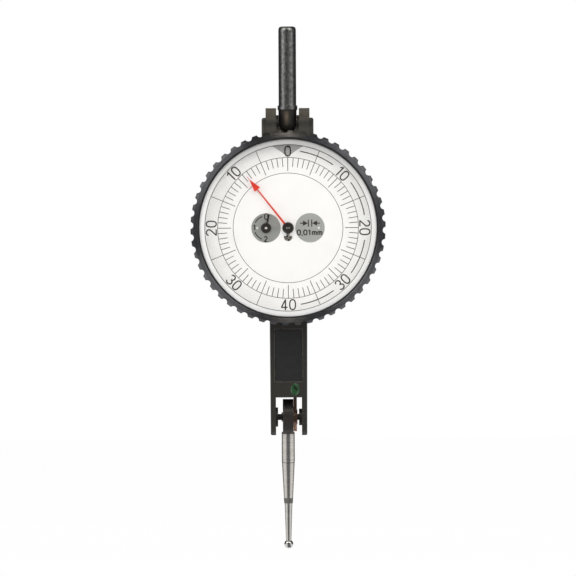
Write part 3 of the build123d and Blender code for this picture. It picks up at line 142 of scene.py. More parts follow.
def softened(corners, cut, steps=5):
    """A profile with eased corners: a short parabola (1-t)^2 a + 2t(1-t) c + t^2 b leaves one edge at a, `cut` before
    the corner c, and joins the next at b. A point just outside each parabola keeps the flats flat when shaded."""
    corners = np.asarray(corners, float)
    middle = corners[1:-1]
    back, ahead = corners[:-2] - middle, corners[2:] - middle
    back_length = np.linalg.norm(back, axis=1, keepdims=True)
    ahead_length = np.linalg.norm(ahead, axis=1, keepdims=True)
    wanted = np.reshape(np.broadcast_to(cut, len(middle)), (-1, 1))
    reach = np.minimum(wanted, 0.3 * np.minimum(back_length, ahead_length))
    back, ahead = back / back_length, ahead / ahead_length
    t = np.linspace(0, 1, steps)[None, :, None]
    a, b, c = (middle + back * reach)[:, None], (middle + ahead * reach)[:, None], middle[:, None]
    arcs = (1 - t) ** 2 * a + 2 * t * (1 - t) * c + t**2 * b
    guards = [(middle + back * reach * 1.5)[:, None], arcs, (middle + ahead * reach * 1.5)[:, None]]
    return np.vstack([corners[:1], np.concatenate(guards, axis=1).reshape(-1, 2), corners[-1:]])


def turn_profile(profile, origin, along, side, columns=96):
    """Grid of a turned surface: origin + height * along + radius * (cos(turn) * side + sin(turn) * along x side)."""
    profile = np.asarray(profile, float)
    turn = np.arange(columns) * 2 * math.pi / columns
    ring = np.cos(turn)[:, None] * side + np.sin(turn)[:, None] * np.cross(along, side)
    return np.asarray(origin) + profile[:, 1, None, None] * along + profile[:, 0, None, None] * ring[None]


# %% [markdown]
# ## Handing a piece to the frame
# Each piece rides on the body that carries it and stands for the plain CAD nodes that it replaces.
# Some faces may then take a further finish.

# %% Dressing a piece
def dress(piece, body, slot, finish, *replaced):
    """Give the piece its finish, its body and the CAD nodes it stands for. The slot is not used."""
    piece.data.materials.clear()
    piece.data.materials.append(finish)
    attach(piece, body)
    if replaced:
        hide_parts(*replaced)
    print(f"{piece.name}: {len(piece.data.polygons)} faces, rides on {body}")
    return piece


def face_values(piece, kind):
    """The "center" or "normal" of every face, one row each."""
    values = np.zeros(len(piece.data.polygons) * 3)
    piece.data.polygons.foreach_get(kind, values)
    return values.reshape(-1, 3)


def add_finishes(piece, numbers, *finishes):
    """Further finishes: a face keeps its own where its number is 0, takes the first where it is 1, and so on."""
    for finish in finishes:
        piece.data.materials.append(finish)
    piece.data.polygons.foreach_set("material_index", numbers.astype(np.int32))
    print(f"{piece.name}: {int((numbers > 0).sum())} faces take a further finish")


# %% [markdown]
# ## Finishes
# Every finish starts from one Principled shader whose constants say what the stuff is: metal or not,
# how rough, how clear. Noise on Object coordinates then adds what makes it read as real at this
# size: blasting, turning marks, lacquer ripple and small changes of colour. Colours are given as
# display values from 0 to 255.

# %% Node helpers
NOISE_LOW, NOISE_HIGH = 0.3, 0.7


def paint(red, green, blue):
    """Linear colour of the display values 0 to 255, by the sRGB curve."""
    share = np.array([red, green, blue]) / 255
    linear = np.where(share <= 0.04045, share / 12.92, ((share + 0.055) / 1.055) ** 2.4)
    return (*linear.tolist(), 1.0)


def node(tree, kind, inputs=(), **settings):
    """A shader node of a kind, with its settings; inputs maps socket names or numbers to values or to sockets."""
    made = tree.nodes.new("ShaderNode" + kind)
    for setting, value in settings.items():
        setattr(made, setting, value)
    for socket, value in dict(inputs).items():
        if isinstance(value, bpy.types.NodeSocket):
            tree.links.new(value, made.inputs[socket])
        else:
            made.inputs[socket].default_value = value
    return made


def number_math(tree, operation, *inputs):
    """Result of a Math node on numbers or sockets."""
    return node(tree, "Math", dict(enumerate(inputs)), operation=operation).outputs[0]


def vector_math(tree, operation, *inputs):
    """Vector Math node; its output 0 is a vector, and its output "Value" a number."""
    return node(tree, "VectorMath", dict(enumerate(inputs)), operation=operation)


def mix_shaders(tree, share, first, second):
    """Shader that goes from the first to the second as the share goes from 0 to 1."""
    return node(tree, "MixShader", {0: share, 1: first, 2: second}).outputs[0]


def empty_tree(owner):
    """The emptied node tree of a material or a world."""
    owner.use_nodes = True
    owner.node_tree.nodes.clear()
    return owner.node_tree


def new_finish(name, colour, metallic, roughness, **constants):
    """Material with one Principled shader; further constants are named as its sockets, with _ for a space."""
    finish = bpy.data.materials.new(name)
    tree = empty_tree(finish)
    sockets = {"Base Color": paint(*colour), "Metallic": metallic, "Roughness": roughness}
    sockets |= {key.replace("_", " "): value for key, value in constants.items()}
    shader = node(tree, "BsdfPrincipled", sockets)
    node(tree, "OutputMaterial", {"Surface": shader.outputs[0]})
    return finish


def shader_of(finish):
    return next(n for n in finish.node_tree.nodes if n.type == "BSDF_PRINCIPLED")


def show(finish, shader):
    """Send a shader to the material's output, in place of the one it had."""
    output = next(n for n in finish.node_tree.nodes if n.type == "OUTPUT_MATERIAL")
    finish.node_tree.links.new(shader, output.inputs["Surface"])


def object_place(finish, origin=(0, 0, 0), turn=(0, 0, 0), scale=(1, 1, 1)):
    """Object coordinates seen from an origin in millimetres, turned by radians and stretched."""
    tree = finish.node_tree
    place = node(tree, "TexCoord").outputs["Object"]
    centred = vector_math(tree, "SUBTRACT", place, tuple(np.array(origin) * MM))
    mapped = node(tree, "Mapping", {"Vector": centred.outputs[0], "Rotation": turn, "Scale": scale})
    return mapped.outputs[0]


def coordinate(finish, place, axis):
    """One coordinate, X, Y or Z, of a place."""
    return node(finish.node_tree, "SeparateXYZ", {0: place}).outputs[axis]


def length(finish, place):
    """Distance of a place from its own origin."""
    return vector_math(finish.node_tree, "LENGTH", place).outputs["Value"]


def noise(finish, size, detail=3.0, roughness=0.55, place=None):
    """Noise whose patches are about `size` millimetres across, on Object coordinates or another place."""
    vector = object_place(finish) if place is None else place
    inputs = {"Vector": vector, "Scale": 1 / (size * MM), "Detail": detail, "Roughness": roughness}
    return node(finish.node_tree, "TexNoise", inputs).outputs["Fac"]


def add_bump(finish, height, depth):
    """Raise the surface by height, whose full range is `depth` millimetres."""
    bump = node(finish.node_tree, "Bump", {"Height": height, "Distance": depth * MM, "Strength": 1.0})
    finish.node_tree.links.new(bump.outputs[0], shader_of(finish).inputs["Normal"])


def vary_roughness(finish, factor, low, high):
    """Roughness from low to high as the factor goes over the usual range of noise."""
    inputs = {"Value": factor, "From Min": NOISE_LOW, "From Max": NOISE_HIGH, "To Min": low, "To Max": high}
    ranged = node(finish.node_tree, "MapRange", inputs)
    finish.node_tree.links.new(ranged.outputs[0], shader_of(finish).inputs["Roughness"])


def colour_steps(finish, factor, *steps, unit=MM):
    """Base colour by a ramp over (value, colour) steps, whose values are counted in the unit."""
    tree = finish.node_tree
    start, end = steps[0][0], steps[-1][0]
    inputs = {"Value": factor, "From Min": start * unit, "From Max": end * unit}
    ramp = node(tree, "ValToRGB", {0: node(tree, "MapRange", inputs).outputs[0]})
    stops = ramp.color_ramp.elements
    stops[0].color, stops[-1].color = paint(*steps[0][1]), paint(*steps[-1][1])
    for value, colour in steps[1:-1]:
        stops.new((value - start) / (end - start)).color = paint(*colour)
    tree.links.new(ramp.outputs[0], shader_of(finish).inputs["Base Color"])


def grain(finish, size, depth, detail=3.0, place=None):
    """Fine tooth: bumps of noise, their size and depth in millimetres."""
    add_bump(finish, noise(finish, size, detail, place=place), depth)


def mottle(finish, size, low, high, detail=3.0, place=None, start=NOISE_LOW, end=NOISE_HIGH):
    """Base colour that wanders from low to high in patches of `size` millimetres."""
    colour_steps(finish, noise(finish, size, detail, place=place), (start, low), (end, high), unit=1.0)


def to_world(tree, direction, kind):
    """World direction of one in the object's own axes, either a VECTOR or a NORMAL."""
    settings = {"vector_type": kind, "convert_from": "OBJECT", "convert_to": "WORLD"}
    return node(tree, "VectorTransform", {0: direction}, **settings).outputs[0]


def fan_out(finish, from_axis):
    """Stretch the gloss away from an axis: the tangent is the unit vector from the axis, taken to world space."""
    tree = finish.node_tree
    outward = vector_math(tree, "NORMALIZE", from_axis).outputs[0]
    tree.links.new(to_world(tree, outward, "VECTOR"), shader_of(finish).inputs["Tangent"])


print("linear mid grey", round(paint(128, 128, 128)[0], 3))

# %% [markdown]
# ### Steels
# The clamping stem is bead-blasted: thousands of tiny dents scatter the light into a soft mottled
# sheen. The stylus is turned, so its marks are fine rings: its noise is stretched across its axis.
# The ball is lapped and has almost no marks at all. The knuckle is dark, with a warm pale painted
# highlight down its middle.

# %% Steel finishes
NECK_TURN = (-NECK_LEAN, 0, 0)
THIN_RINGS = (0.04, 0.04, 1)

blasted_steel = new_finish("blasted_steel", (125, 125, 123), 1.0, 0.36)
dents = noise(blasted_steel, 0.3, 5.0, 0.7)
add_bump(blasted_steel, dents, 0.02)
mottle(blasted_steel, 0.7, (108, 108, 107), (160, 160, 157))
vary_roughness(blasted_steel, dents, 0.3, 0.42)

dark_steel = new_finish("dark_steel", (44, 41, 38), 0.25, 0.4)
grain(dark_steel, 0.12, 0.003)
mottle(dark_steel, 0.9, (40, 37, 34), (49, 46, 43))

knuckle_steel = new_finish("knuckle_steel", (60, 57, 52), 0.5, 0.48)
grain(knuckle_steel, 0.15, 0.003)
vary_roughness(knuckle_steel, noise(knuckle_steel, 0.9), 0.42, 0.54)
# Painted highlight: a warm pale spot, by distance from a point below the collar, with the height squeezed so that the
# spot is tall
HIGHLIGHT_SPOT, SQUEEZE = (-0.2, 0, -2.6), (1, 0, 0.3)
away = length(knuckle_steel, object_place(knuckle_steel, HIGHLIGHT_SPOT, scale=SQUEEZE))
colour_steps(knuckle_steel, away, (0.0, (124, 110, 92)), (0.3, (94, 84, 71)), (0.7, (53, 50, 46)), (2.0, (52, 50, 48)))

hub_steel = new_finish("hub_steel", (48, 45, 42), 0.25, 0.38)
grain(hub_steel, 0.12, 0.003)
# Painted shade: the hub's colour darkens from below its pivot up to its top
height = coordinate(hub_steel, object_place(hub_steel, PIVOT, NECK_TURN), "Z")
colour_steps(hub_steel, height, (-3.6, (66, 63, 60)), (-1.6, (56, 52, 49)), (0.4, (50, 46, 43)), (2.8, (30, 28, 27)))

turned_steel = new_finish("turned_steel", (206, 203, 197), 1.0, 0.3)
rings = object_place(turned_steel, PIVOT, NECK_TURN, THIN_RINGS)
marks = noise(turned_steel, 0.09, 2.0, 0.7, rings)
add_bump(turned_steel, marks, 0.0012)
vary_roughness(turned_steel, marks, 0.24, 0.36)
mottle(turned_steel, 0.6, (196, 192, 184), (214, 211, 205), place=rings)

milled_steel = new_finish("milled_steel", (128, 125, 119), 1.0, 0.5)
milling = object_place(milled_steel, PIVOT, NECK_TURN, THIN_RINGS)
mottle(milled_steel, 0.12, (112, 109, 104), (142, 139, 133), place=milling)

polished_ball = new_finish("polished_ball", (205, 203, 200), 1.0, 0.1)
vary_roughness(polished_ball, noise(polished_ball, 0.3), 0.17, 0.23)

spring_steel = new_finish("spring_steel", (176, 178, 182), 1.0, 0.3)
grain(spring_steel, 0.1, 0.002)

# Painted glint: a pale flat colour for the small rivets and the plates on the hubs
painted_glint = new_finish("painted_glint", (226, 224, 220), 0.0, 0.35)
mottle(painted_glint, 0.3, (206, 203, 198), (242, 241, 238))

# Painted glints: a metal whose colour jumps in patches between near black and near white
steel_painted_glints = new_finish("steel_painted_glints", (140, 134, 124), 0.7, 0.3)
grain(steel_painted_glints, 0.4, 0.03, 2.0)
mottle(steel_painted_glints, 0.4, (40, 37, 34), (226, 218, 206), 2.0, start=0.42, end=0.6)
print("finishes so far:", len(bpy.data.materials))

# %% [markdown]
# ### Black and coloured finishes
# The case is lacquered over metal and looks warm grey-black, the bezel is anodised and cooler. Both
# are nearly matt: a fine tooth keeps the case's highlights broad, and the bezel's gloss fans out from
# the centre, because it was faced on a lathe. Brass, copper, ruby and paints follow in their own cell.

# %% Black finishes
# Painted light: the lacquer is paler at the ears and palest at their rounded tops, where they catch the light; its
# colour follows the height, which noise shifts a little up and down
case_lacquer = new_finish("case_lacquer", (47, 45, 40), 0.0, 0.42, Specular_IOR_Level=0.5)
grain(case_lacquer, 0.08, 0.004)
WANDER = 1.2 * MM
case_height = coordinate(case_lacquer, object_place(case_lacquer), "Z")
painted_light_height = number_math(case_lacquer.node_tree, "MULTIPLY_ADD", noise(case_lacquer, 1.2), WANDER, case_height)
colour_steps(
    case_lacquer,
    painted_light_height,
    (-60.0, (47, 45, 40)),
    (-46.0, (44, 42, 37)),
    (-9.0, (48, 46, 41)),
    (-7.0, (71, 68, 61)),
    (-4.6, (68, 65, 58)),
    (-3.6, (50, 47, 42)),
    (-2.0, (56, 52, 45)),
    (-0.8, (90, 85, 75)),
)

plate_black = new_finish("plate_black", (38, 38, 38), 0.0, 0.42)
grain(plate_black, 0.06, 0.003, place=object_place(plate_black, scale=(1, 1, 0.08)))
mottle(plate_black, 1.0, (35, 35, 35), (41, 41, 41))

bezel_black = new_finish("bezel_black", (128, 128, 131), 1.0, 0.385, Anisotropic=1.0)
fan_out(bezel_black, object_place(bezel_black, (0, 0, DIAL_Z), scale=(1, 0, 1)))
mottle(bezel_black, 1.5, (119, 119, 122), (136, 136, 139))

grip_black = new_finish("grip_black", (40, 40, 41), 0.3, 0.34)
grain(grip_black, 0.1, 0.003)
mottle(grip_black, 0.9, (34, 34, 35), (48, 48, 49))

# Painted highlight: the pale colour of the thin frame round the cover plate
painted_highlight_edge = new_finish("painted_highlight_edge", (96, 93, 85), 0.2, 0.4)
mottle(painted_highlight_edge, 0.8, (60, 58, 52), (104, 101, 92))

rubber = new_finish("rubber", (30, 30, 31), 0.0, 0.7)
grain(rubber, 0.15, 0.008)
print("finishes so far:", len(bpy.data.materials))

# %% Coloured finishes
brass = new_finish("brass", (214, 178, 104), 1.0, 0.32)
grain(brass, 0.12, 0.003)

# Painted shade: the lever is pale below its pivot and dark brown above it, where it lies in the slot
copper = new_finish("copper", (150, 112, 92), 0.35, 0.36)
lever_shade_height = coordinate(copper, object_place(copper, PIVOT, NECK_TURN), "Z")
grain(copper, 0.07, 0.004, place=object_place(copper, PIVOT, NECK_TURN, (1, 1, 0.06)))
colour_steps(copper, lever_shade_height, (-1.7, (196, 156, 134)), (-0.7, (84, 62, 50)))

ruby = new_finish("ruby", (190, 30, 60), 0.0, 0.08, Transmission_Weight=0.5, IOR=1.76)
vary_roughness(ruby, noise(ruby, 0.4), 0.05, 0.12)

green_lacquer = new_finish("green_lacquer", (30, 66, 38), 0.0, 0.2, Specular_IOR_Level=0.25)
grain(green_lacquer, 0.5, 0.1, 2.0)

red_paint = new_finish("red_paint", (215, 50, 24), 0.0, 0.4)
grain(red_paint, 0.2, 0.004)
mottle(red_paint, 0.8, (206, 44, 20), (224, 56, 28))
print("finishes so far:", len(bpy.data.materials))

# %% [markdown]
# ### Dial finishes
# The dial is painted warm white and printed in dark ink. The two sunk discs are grey metal foil,
# spun against a pad, so their marks are circles: the noise reads the distance from a disc's axis.

# %% Dial finishes
dial_white = new_finish("dial_white", (246, 245, 243), 0.0, 0.45)
grain(dial_white, 0.3, 0.003, 2.0)
mottle(dial_white, 3.0, (244, 243, 241), (248, 247, 245))

dial_ink = new_finish("dial_ink", (46, 40, 36), 0.0, 0.5)
mottle(dial_ink, 0.25, (40, 35, 31), (54, 47, 42))

pale_ink = new_finish("pale_ink", (168, 168, 166), 0.0, 0.5)
mottle(pale_ink, 0.3, (162, 162, 160), (173, 173, 171))


def spun_foil(name, x, metallic, anisotropic):
    """Grey foil with circular marks round the axis at x, from noise on the distance to that axis."""
    finish = new_finish(name, (164, 166, 161), metallic, 0.42, Anisotropic=anisotropic)
    place = object_place(finish, (x, 0, DIAL_Z), scale=(1, 0, 1))
    mottle(finish, 0.05, (158, 160, 155), (170, 172, 167), 2.0, length(finish, place))
    fan_out(finish, place)
    return finish


left_foil = spun_foil("left_foil", COUNTER_X, 0.4, 0.9)
right_foil = spun_foil("right_foil", -COUNTER_X, 0.1, 0.0)
print("finishes so far:", len(bpy.data.materials))

# %% [markdown]
# ### Clear crystal
# The crystal is a polished acrylic cap. Light has to reach the dial through it, so the window lets
# shadow rays pass and only adds its own faint reflection, mixed in by Fresnel. The bevelled rim is a
# slightly milky solid edge, which is why it reads as a pale grey ring round the dial.

# %% Crystal finishes
NEARLY_CLEAR = (0.995, 0.995, 0.995, 1)
window_clear = bpy.data.materials.new("window_clear")
tree = empty_tree(window_clear)
clear = node(tree, "BsdfTransparent", {"Color": NEARLY_CLEAR}).outputs[0]
shine = node(tree, "BsdfGlossy", {"Color": (1, 1, 1, 1), "Roughness": 0.03}).outputs[0]
fresnel = node(tree, "Fresnel", {"IOR": 1.45}).outputs[0]
inside = node(tree, "NewGeometry").outputs["Backfacing"]
shadow = node(tree, "LightPath").outputs["Is Shadow Ray"]
mirrors = number_math(tree, "SUBTRACT", 1.0, number_math(tree, "MAXIMUM", inside, shadow))
amount = number_math(tree, "MULTIPLY", fresnel, mirrors)
node(tree, "OutputMaterial", {"Surface": mix_shaders(tree, amount, clear, shine)})

rim_clear = new_finish("rim_clear", (250, 250, 249), 0.0, 0.12, Alpha=0.95)
vary_roughness(rim_clear, noise(rim_clear, 1.5), 0.08, 0.16)
# Painted shade: the rim's colour is darker toward its top
rim_shade_height = coordinate(rim_clear, object_place(rim_clear, (0, 0, DIAL_Z)), "Z")
colour_steps(rim_clear, rim_shade_height, (-20, (255, 255, 254)), (4, (252, 252, 251)), (20, (190, 190, 189)))
# Light spreads inside the wall, so it looks nearly flat: its normal is drawn most of the way to -Y
OWN_SHARE = (0.12, 0.12, 0.12)
tree = rim_clear.node_tree
bevel = node(tree, "NewGeometry").outputs["Normal"]
ahead = to_world(tree, (0, -1, 0), "NORMAL")
drawn = vector_math(tree, "MULTIPLY_ADD", bevel, OWN_SHARE, ahead).outputs[0]
drawn = vector_math(tree, "NORMALIZE", drawn).outputs[0]
tree.links.new(drawn, shader_of(rim_clear).inputs["Normal"])
shadow = node(tree, "LightPath").outputs["Is Shadow Ray"]
clear = node(tree, "BsdfTransparent", {"Color": NEARLY_CLEAR}).outputs[0]
show(rim_clear, mix_shaders(tree, shadow, shader_of(rim_clear).outputs[0], clear))
print("finishes so far:", len(bpy.data.materials))

# %% [markdown]
# ## Finishes of the CAD nodes that stay
# Where the CAD shape is already right, the node stays and only its material changes. The record
# says which slot a node belongs to by the material it was packed with.

# %% Dress the nodes that stay
FINISH_OF_SLOT = {
    "blued_steel": blasted_steel,
    "dark_steel": dark_steel,
    "black_lacquer": case_lacquer,
    "black_plate": plate_black,
    "green_lacquer": green_lacquer,
    "black_anodised": bezel_black,
    "crystal": window_clear,
    "black_rubber": rubber,
    "white_dial": dial_white,
    "spring_steel": spring_steel,
    "brass": brass,
    "ruby": ruby,
    "red_paint": red_paint,
    "bright_steel": turned_steel,
    "copper": copper,
    "polished_carbide": polished_ball,
}
for cad_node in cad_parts.values():
    for holder in cad_node.material_slots:
        holder.material = FINISH_OF_SLOT[holder.material.name.split(".")[0]]
for name, finish in (("stylus_hub", hub_steel), ("window_screw", steel_painted_glints)):
    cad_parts[name].material_slots[0].material = finish
print("slots dressed:", len(FINISH_OF_SLOT))

# %% [markdown]
# ## Stem
# The stem is a turned rod with an eased top edge, a centring dimple from the lathe and a small
# collar. Its knuckle, which the clamp grips, is a piece of its own with a darker finish.

# %% Stem
stem_low, stem_high = box_mm("stem")
STEM_TOP, STEM_RADIUS = stem_high[2], 2.0
DIMPLE, DIMPLE_LIP = 0.42, 0.08
EASE_WIDE, EASE_HIGH = 0.62, 0.75
COLLAR_RADIUS, COLLAR_FOOT = stem_high[0], -1.07
stem_corners = [
    (0, STEM_TOP - DIMPLE),
    (DIMPLE, STEM_TOP - DIMPLE_LIP / 2),
    (DIMPLE + DIMPLE_LIP, STEM_TOP),
    (STEM_RADIUS - EASE_WIDE, STEM_TOP),
    (STEM_RADIUS - 0.14, STEM_TOP - 0.22),
    (STEM_RADIUS, STEM_TOP - EASE_HIGH),
    (STEM_RADIUS, 0.0),
    (COLLAR_RADIUS, 0.0),
    (COLLAR_RADIUS, COLLAR_FOOT),
    (0, COLLAR_FOOT),
]
stem_profile = softened(stem_corners, [0.05, 0.05, 0.2, 0.2, 0.2, 0.03, 0.12, 0.2])
stem_grid = turn_profile(stem_profile, (0, 0, 0), Z_AXIS, X_AXIS)
dress(grid_piece("stem_rod", stem_grid), "stem", "blued_steel", blasted_steel, "stem")

# %% Knuckle
KNUCKLE_RADIUS, KNUCKLE_EDGE = 2.07, 0.06
KNUCKLE_Z = stem_low[2] + 2.03
wall = np.linspace(COLLAR_FOOT - KNUCKLE_EDGE, KNUCKLE_Z, 32)
wall = np.stack([np.full(32, KNUCKLE_RADIUS), wall], axis=1)
bowl = np.linspace(0, math.pi / 2, 32)[1:]
bowl = np.stack([KNUCKLE_RADIUS * np.cos(bowl), KNUCKLE_Z - KNUCKLE_RADIUS * np.sin(bowl)], axis=1)
knuckle_profile = np.vstack([[(0, COLLAR_FOOT), (KNUCKLE_RADIUS - KNUCKLE_EDGE, COLLAR_FOOT)], wall, bowl])
stem_grid = turn_profile(knuckle_profile, (0, 0, 0), Z_AXIS, X_AXIS, 160)

# The ball's two sockets: points within the nose's radius of the X axis are drawn in to the socket's floor
SOCKET_RADIUS, SOCKET_FLOOR = 0.83, 1.28
off_axis = np.hypot(stem_grid[..., 1], stem_grid[..., 2] - KNUCKLE_Z)
sunk = np.sign(stem_grid[..., 0]) * np.minimum(np.abs(stem_grid[..., 0]), SOCKET_FLOOR)
stem_grid[..., 0] = np.where(off_axis < SOCKET_RADIUS, sunk, stem_grid[..., 0])
dress(grid_piece("stem_knuckle", stem_grid), "stem", "blued_steel", knuckle_steel)

# %% [markdown]
# ## Stylus and ball
# The stylus is turned too: a straight shank, a hairline groove, a long taper, two small flats for a
# spanner and a thin cone. The flats are cut by limiting how far the grid may reach sideways.

# %% Stylus
HUB_REACH, CONE_GAP = 3.57, 0.83
SHOULDER = PIVOT + NECK_DOWN * HUB_REACH
SHOULDER[0] = (hub_low[0] + hub_high[0]) / 2
SHANK, WAIST, STEP, CONE_END = 6.8, 15.18, 16.42, (BALL - SHOULDER) @ NECK_DOWN - CONE_GAP
TENON, TENON_RADIUS = 1.6, 0.7
SHANK_RADIUS, GROOVE_FLOOR, TAPER_RADIUS, WAIST_RADIUS, STEP_RADIUS = 1.485, 1.42, 1.46, 1.045, 0.99
STEP_EDGE, GROOVE = 0.01, 0.1
stylus_corners = [
    (0, -TENON),
    (TENON_RADIUS, -TENON),
    (TENON_RADIUS, 0.0),
    (SHANK_RADIUS, 0.0),
    (SHANK_RADIUS, SHANK),
    (GROOVE_FLOOR, SHANK),
    (GROOVE_FLOOR, SHANK + GROOVE),
    (TAPER_RADIUS, SHANK + GROOVE),
    (WAIST_RADIUS, WAIST),
    (WAIST_RADIUS, WAIST + STEP_EDGE),
    (STEP_RADIUS, STEP - STEP_EDGE),
    (STEP_RADIUS, STEP),
    (STEP_RADIUS - 0.12, STEP + 0.22),
    (0.61, CONE_END),
    (0, CONE_END),
]
stylus_cuts = [0.02, 0.02, 0.1, 0.02, 0.02, 0.02, 0.02, 0, 0, 0, 0, 0.03, 0.03]
stylus_profile = softened(stylus_corners, stylus_cuts, 4)
stylus_grid = turn_profile(stylus_profile, SHOULDER, NECK_DOWN, X_AXIS, 144)

# The flats: between the waist and the step no point may lie further than FLAT from the axis along their normal
FLAT = 0.85
flat_turn = math.radians(25)
flat_normal = math.cos(flat_turn) * NECK_FRONT - math.sin(flat_turn) * X_AXIS
beyond = (stylus_grid - SHOULDER) @ flat_normal
cut = np.sign(beyond) * np.maximum(np.abs(beyond) - FLAT, 0)
between = (stylus_profile[:, 1] > WAIST + STEP_EDGE / 2) & (stylus_profile[:, 1] < STEP - STEP_EDGE / 2)
stylus_grid -= (cut * between[:, None])[..., None] * flat_normal
stylus_piece = dress(grid_piece("stylus_rod", stylus_grid), "stylus", "bright_steel", turned_steel, "stylus")
# Faces between waist and step take the milled finish, and those of the groove the dark one as painted shade
reaches = (face_values(stylus_piece, "center") / MM - SHOULDER) @ NECK_DOWN
milled = (reaches > WAIST + STEP_EDGE) & (reaches < STEP - STEP_EDGE)
grooved = (reaches > SHANK - 0.02) & (reaches < SHANK + GROOVE + 0.02)
add_finishes(stylus_piece, milled + 2 * grooved, milled_steel, dark_steel)

# %% Contact ball
arc = np.linspace(0, math.pi, 49)
ball_profile = np.stack([BALL_RADIUS * np.sin(arc), -BALL_RADIUS * np.cos(arc)], axis=1)
ball_grid = turn_profile(ball_profile, BALL, NECK_DOWN, X_AXIS)
dress(grid_piece("contact_tip", ball_grid), "stylus", "polished_carbide", polished_ball, "contact_ball")

# %% [markdown]
# ## Lacquer seal and cover edge
# A drop of green lacquer seals the adjusting screw. It fills the slanted hole from wall to wall, sinks
# a little in the middle and shows the screw's slot as a dent. The cover plate next to it has a thin
# flat frame in a pale colour, a painted highlight along its edge, that also covers the seam.

# %% Lacquer seal
SEAL_X, SEAL_REACH = 1.41, 18.216
SEAL_HALF, SEAL_DEPTH = 1.02, 0.9
slant = math.radians(42.5)
into_hole = -math.cos(slant) * NECK_FRONT + math.sin(slant) * NECK_DOWN
seal_centre = neck_place(SEAL_X, -NECK_HALF, SEAL_REACH)
share = np.concatenate([np.linspace(0, 1, 18), [1.0, 1.0, 0.0]])[:, None]
turn = np.arange(72)[None] * 2 * math.pi / 72
aside, upward = share * SEAL_HALF * np.cos(turn), share * SEAL_HALF / math.cos(slant) * np.sin(turn)
DENT_UP, DENT_WIDTH, DENT_DOWN, DENT_LENGTH = 0.38, 0.27, 0.22, 0.72
slot_turn = math.radians(-48)
off_slot = upward * math.cos(slot_turn) - aside * math.sin(slot_turn)
along_slot = aside * math.cos(slot_turn) + upward * math.sin(slot_turn)
# Height along the hole: a meniscus s (1 - r^2), ripples, and a dent over the slot that fades out toward its ends
dent = np.exp(-(((off_slot - DENT_UP) / DENT_WIDTH) ** 2) - ((along_slot + DENT_DOWN) / DENT_LENGTH) ** 4)
sink = 0.06 + 0.18 * (1 - share**2) + 0.05 * share * np.sin(3 * turn + 1.0) + 0.34 * (1 - share**6) * dent
sink[-3], sink[-2:] = 0.3, SEAL_DEPTH
seal_grid = seal_centre + aside[..., None] * X_AXIS - upward[..., None] * NECK_DOWN + sink[..., None] * into_hole
# Painted light and shade: the deeper the lacquer lies in the neck, the darker it is, pale at the rim and near black in
# the hollow; depth is a dot product with the way in
seal_place = object_place(green_lacquer, seal_centre.ravel())
below = vector_math(green_lacquer.node_tree, "DOT_PRODUCT", seal_place, tuple(-NECK_FRONT)).outputs["Value"]
lit, middling, shaded, deep = (0.03, (78, 100, 78)), (0.10, (46, 78, 50)), (0.22, (28, 64, 34)), (0.36, (4, 30, 10))
colour_steps(green_lacquer, below, lit, middling, shaded, deep)
dress(grid_piece("lacquer_seal", seal_grid), "case", "green_lacquer", green_lacquer, "adjusting_screw")

# %% Cover edge
cover_low, cover_high = box_mm("neck_cover")
COVER_HALF = (cover_high[0] - cover_low[0]) / 2
COVER_TOP = (NECK_ROOT[2] - cover_high[2] - NECK_HALF * math.sin(NECK_LEAN)) / math.cos(NECK_LEAN)
COVER_END = COVER_TOP + 12.2
INNER, OUTER, LIFT = -0.01, 0.12, 0.03
corner = np.array([(-1, 0), (1, 0), (1, 1), (-1, 1)])
frame_rows = []
for out, lift in ((INNER, 0.0), (INNER, LIFT), (OUTER, LIFT), (OUTER, 0.0)):
    x = corner[:, 0] * (COVER_HALF + out)
    reach = np.where(corner[:, 1] == 0, COVER_TOP - out, COVER_END + out)
    frame_rows.append(neck_place(x, -NECK_HALF - lift, reach))
# The frame's pale finish is a painted highlight along the cover's edge
dress(grid_piece("cover_edge", np.array(frame_rows), wrap_rows=True), "case", "black_plate", painted_highlight_edge)

# %% [markdown]
# ## Bezel
# The grip ring has fifty scooped flutes. Its section is a closed profile; at each angle the radius
# is the smaller of the profile's own and the flute's, and the flute's is the near side of a circle:
# r = c cos(a) - sqrt(s^2 - c^2 sin(a)^2), with c the scoop's centre and s its radius.

# %% Bezel
FLUTES, FLUTE_DEPTH, FLUTE_HALF = 50, 0.65, 0.795
FLUTE_PHASE = math.radians(-1.95)
BEZEL_RADIUS = bezel_high[0]
scoop = (FLUTE_HALF**2 + FLUTE_DEPTH**2) / (2 * FLUTE_DEPTH)
scoop_centre = BEZEL_RADIUS - FLUTE_DEPTH + scoop
edge = math.asin(FLUTE_HALF / BEZEL_RADIUS)
inside = edge * np.sin(np.linspace(-math.pi / 2, math.pi / 2, 15))
outside = np.linspace(edge, 2 * math.pi / FLUTES - edge, 7)[1:-1]
one_flute = np.concatenate([inside, outside])
turns = (FLUTE_PHASE + np.arange(FLUTES)[:, None] * 2 * math.pi / FLUTES + one_flute[None]).ravel()
reach = np.maximum(scoop**2 - (scoop_centre * np.sin(one_flute)) ** 2, 0)
flute_radius = np.where(np.abs(one_flute) <= edge, scoop_centre * np.cos(one_flute) - np.sqrt(reach), BEZEL_RADIUS)
flute_radius = np.tile(np.minimum(flute_radius, BEZEL_RADIUS), FLUTES)

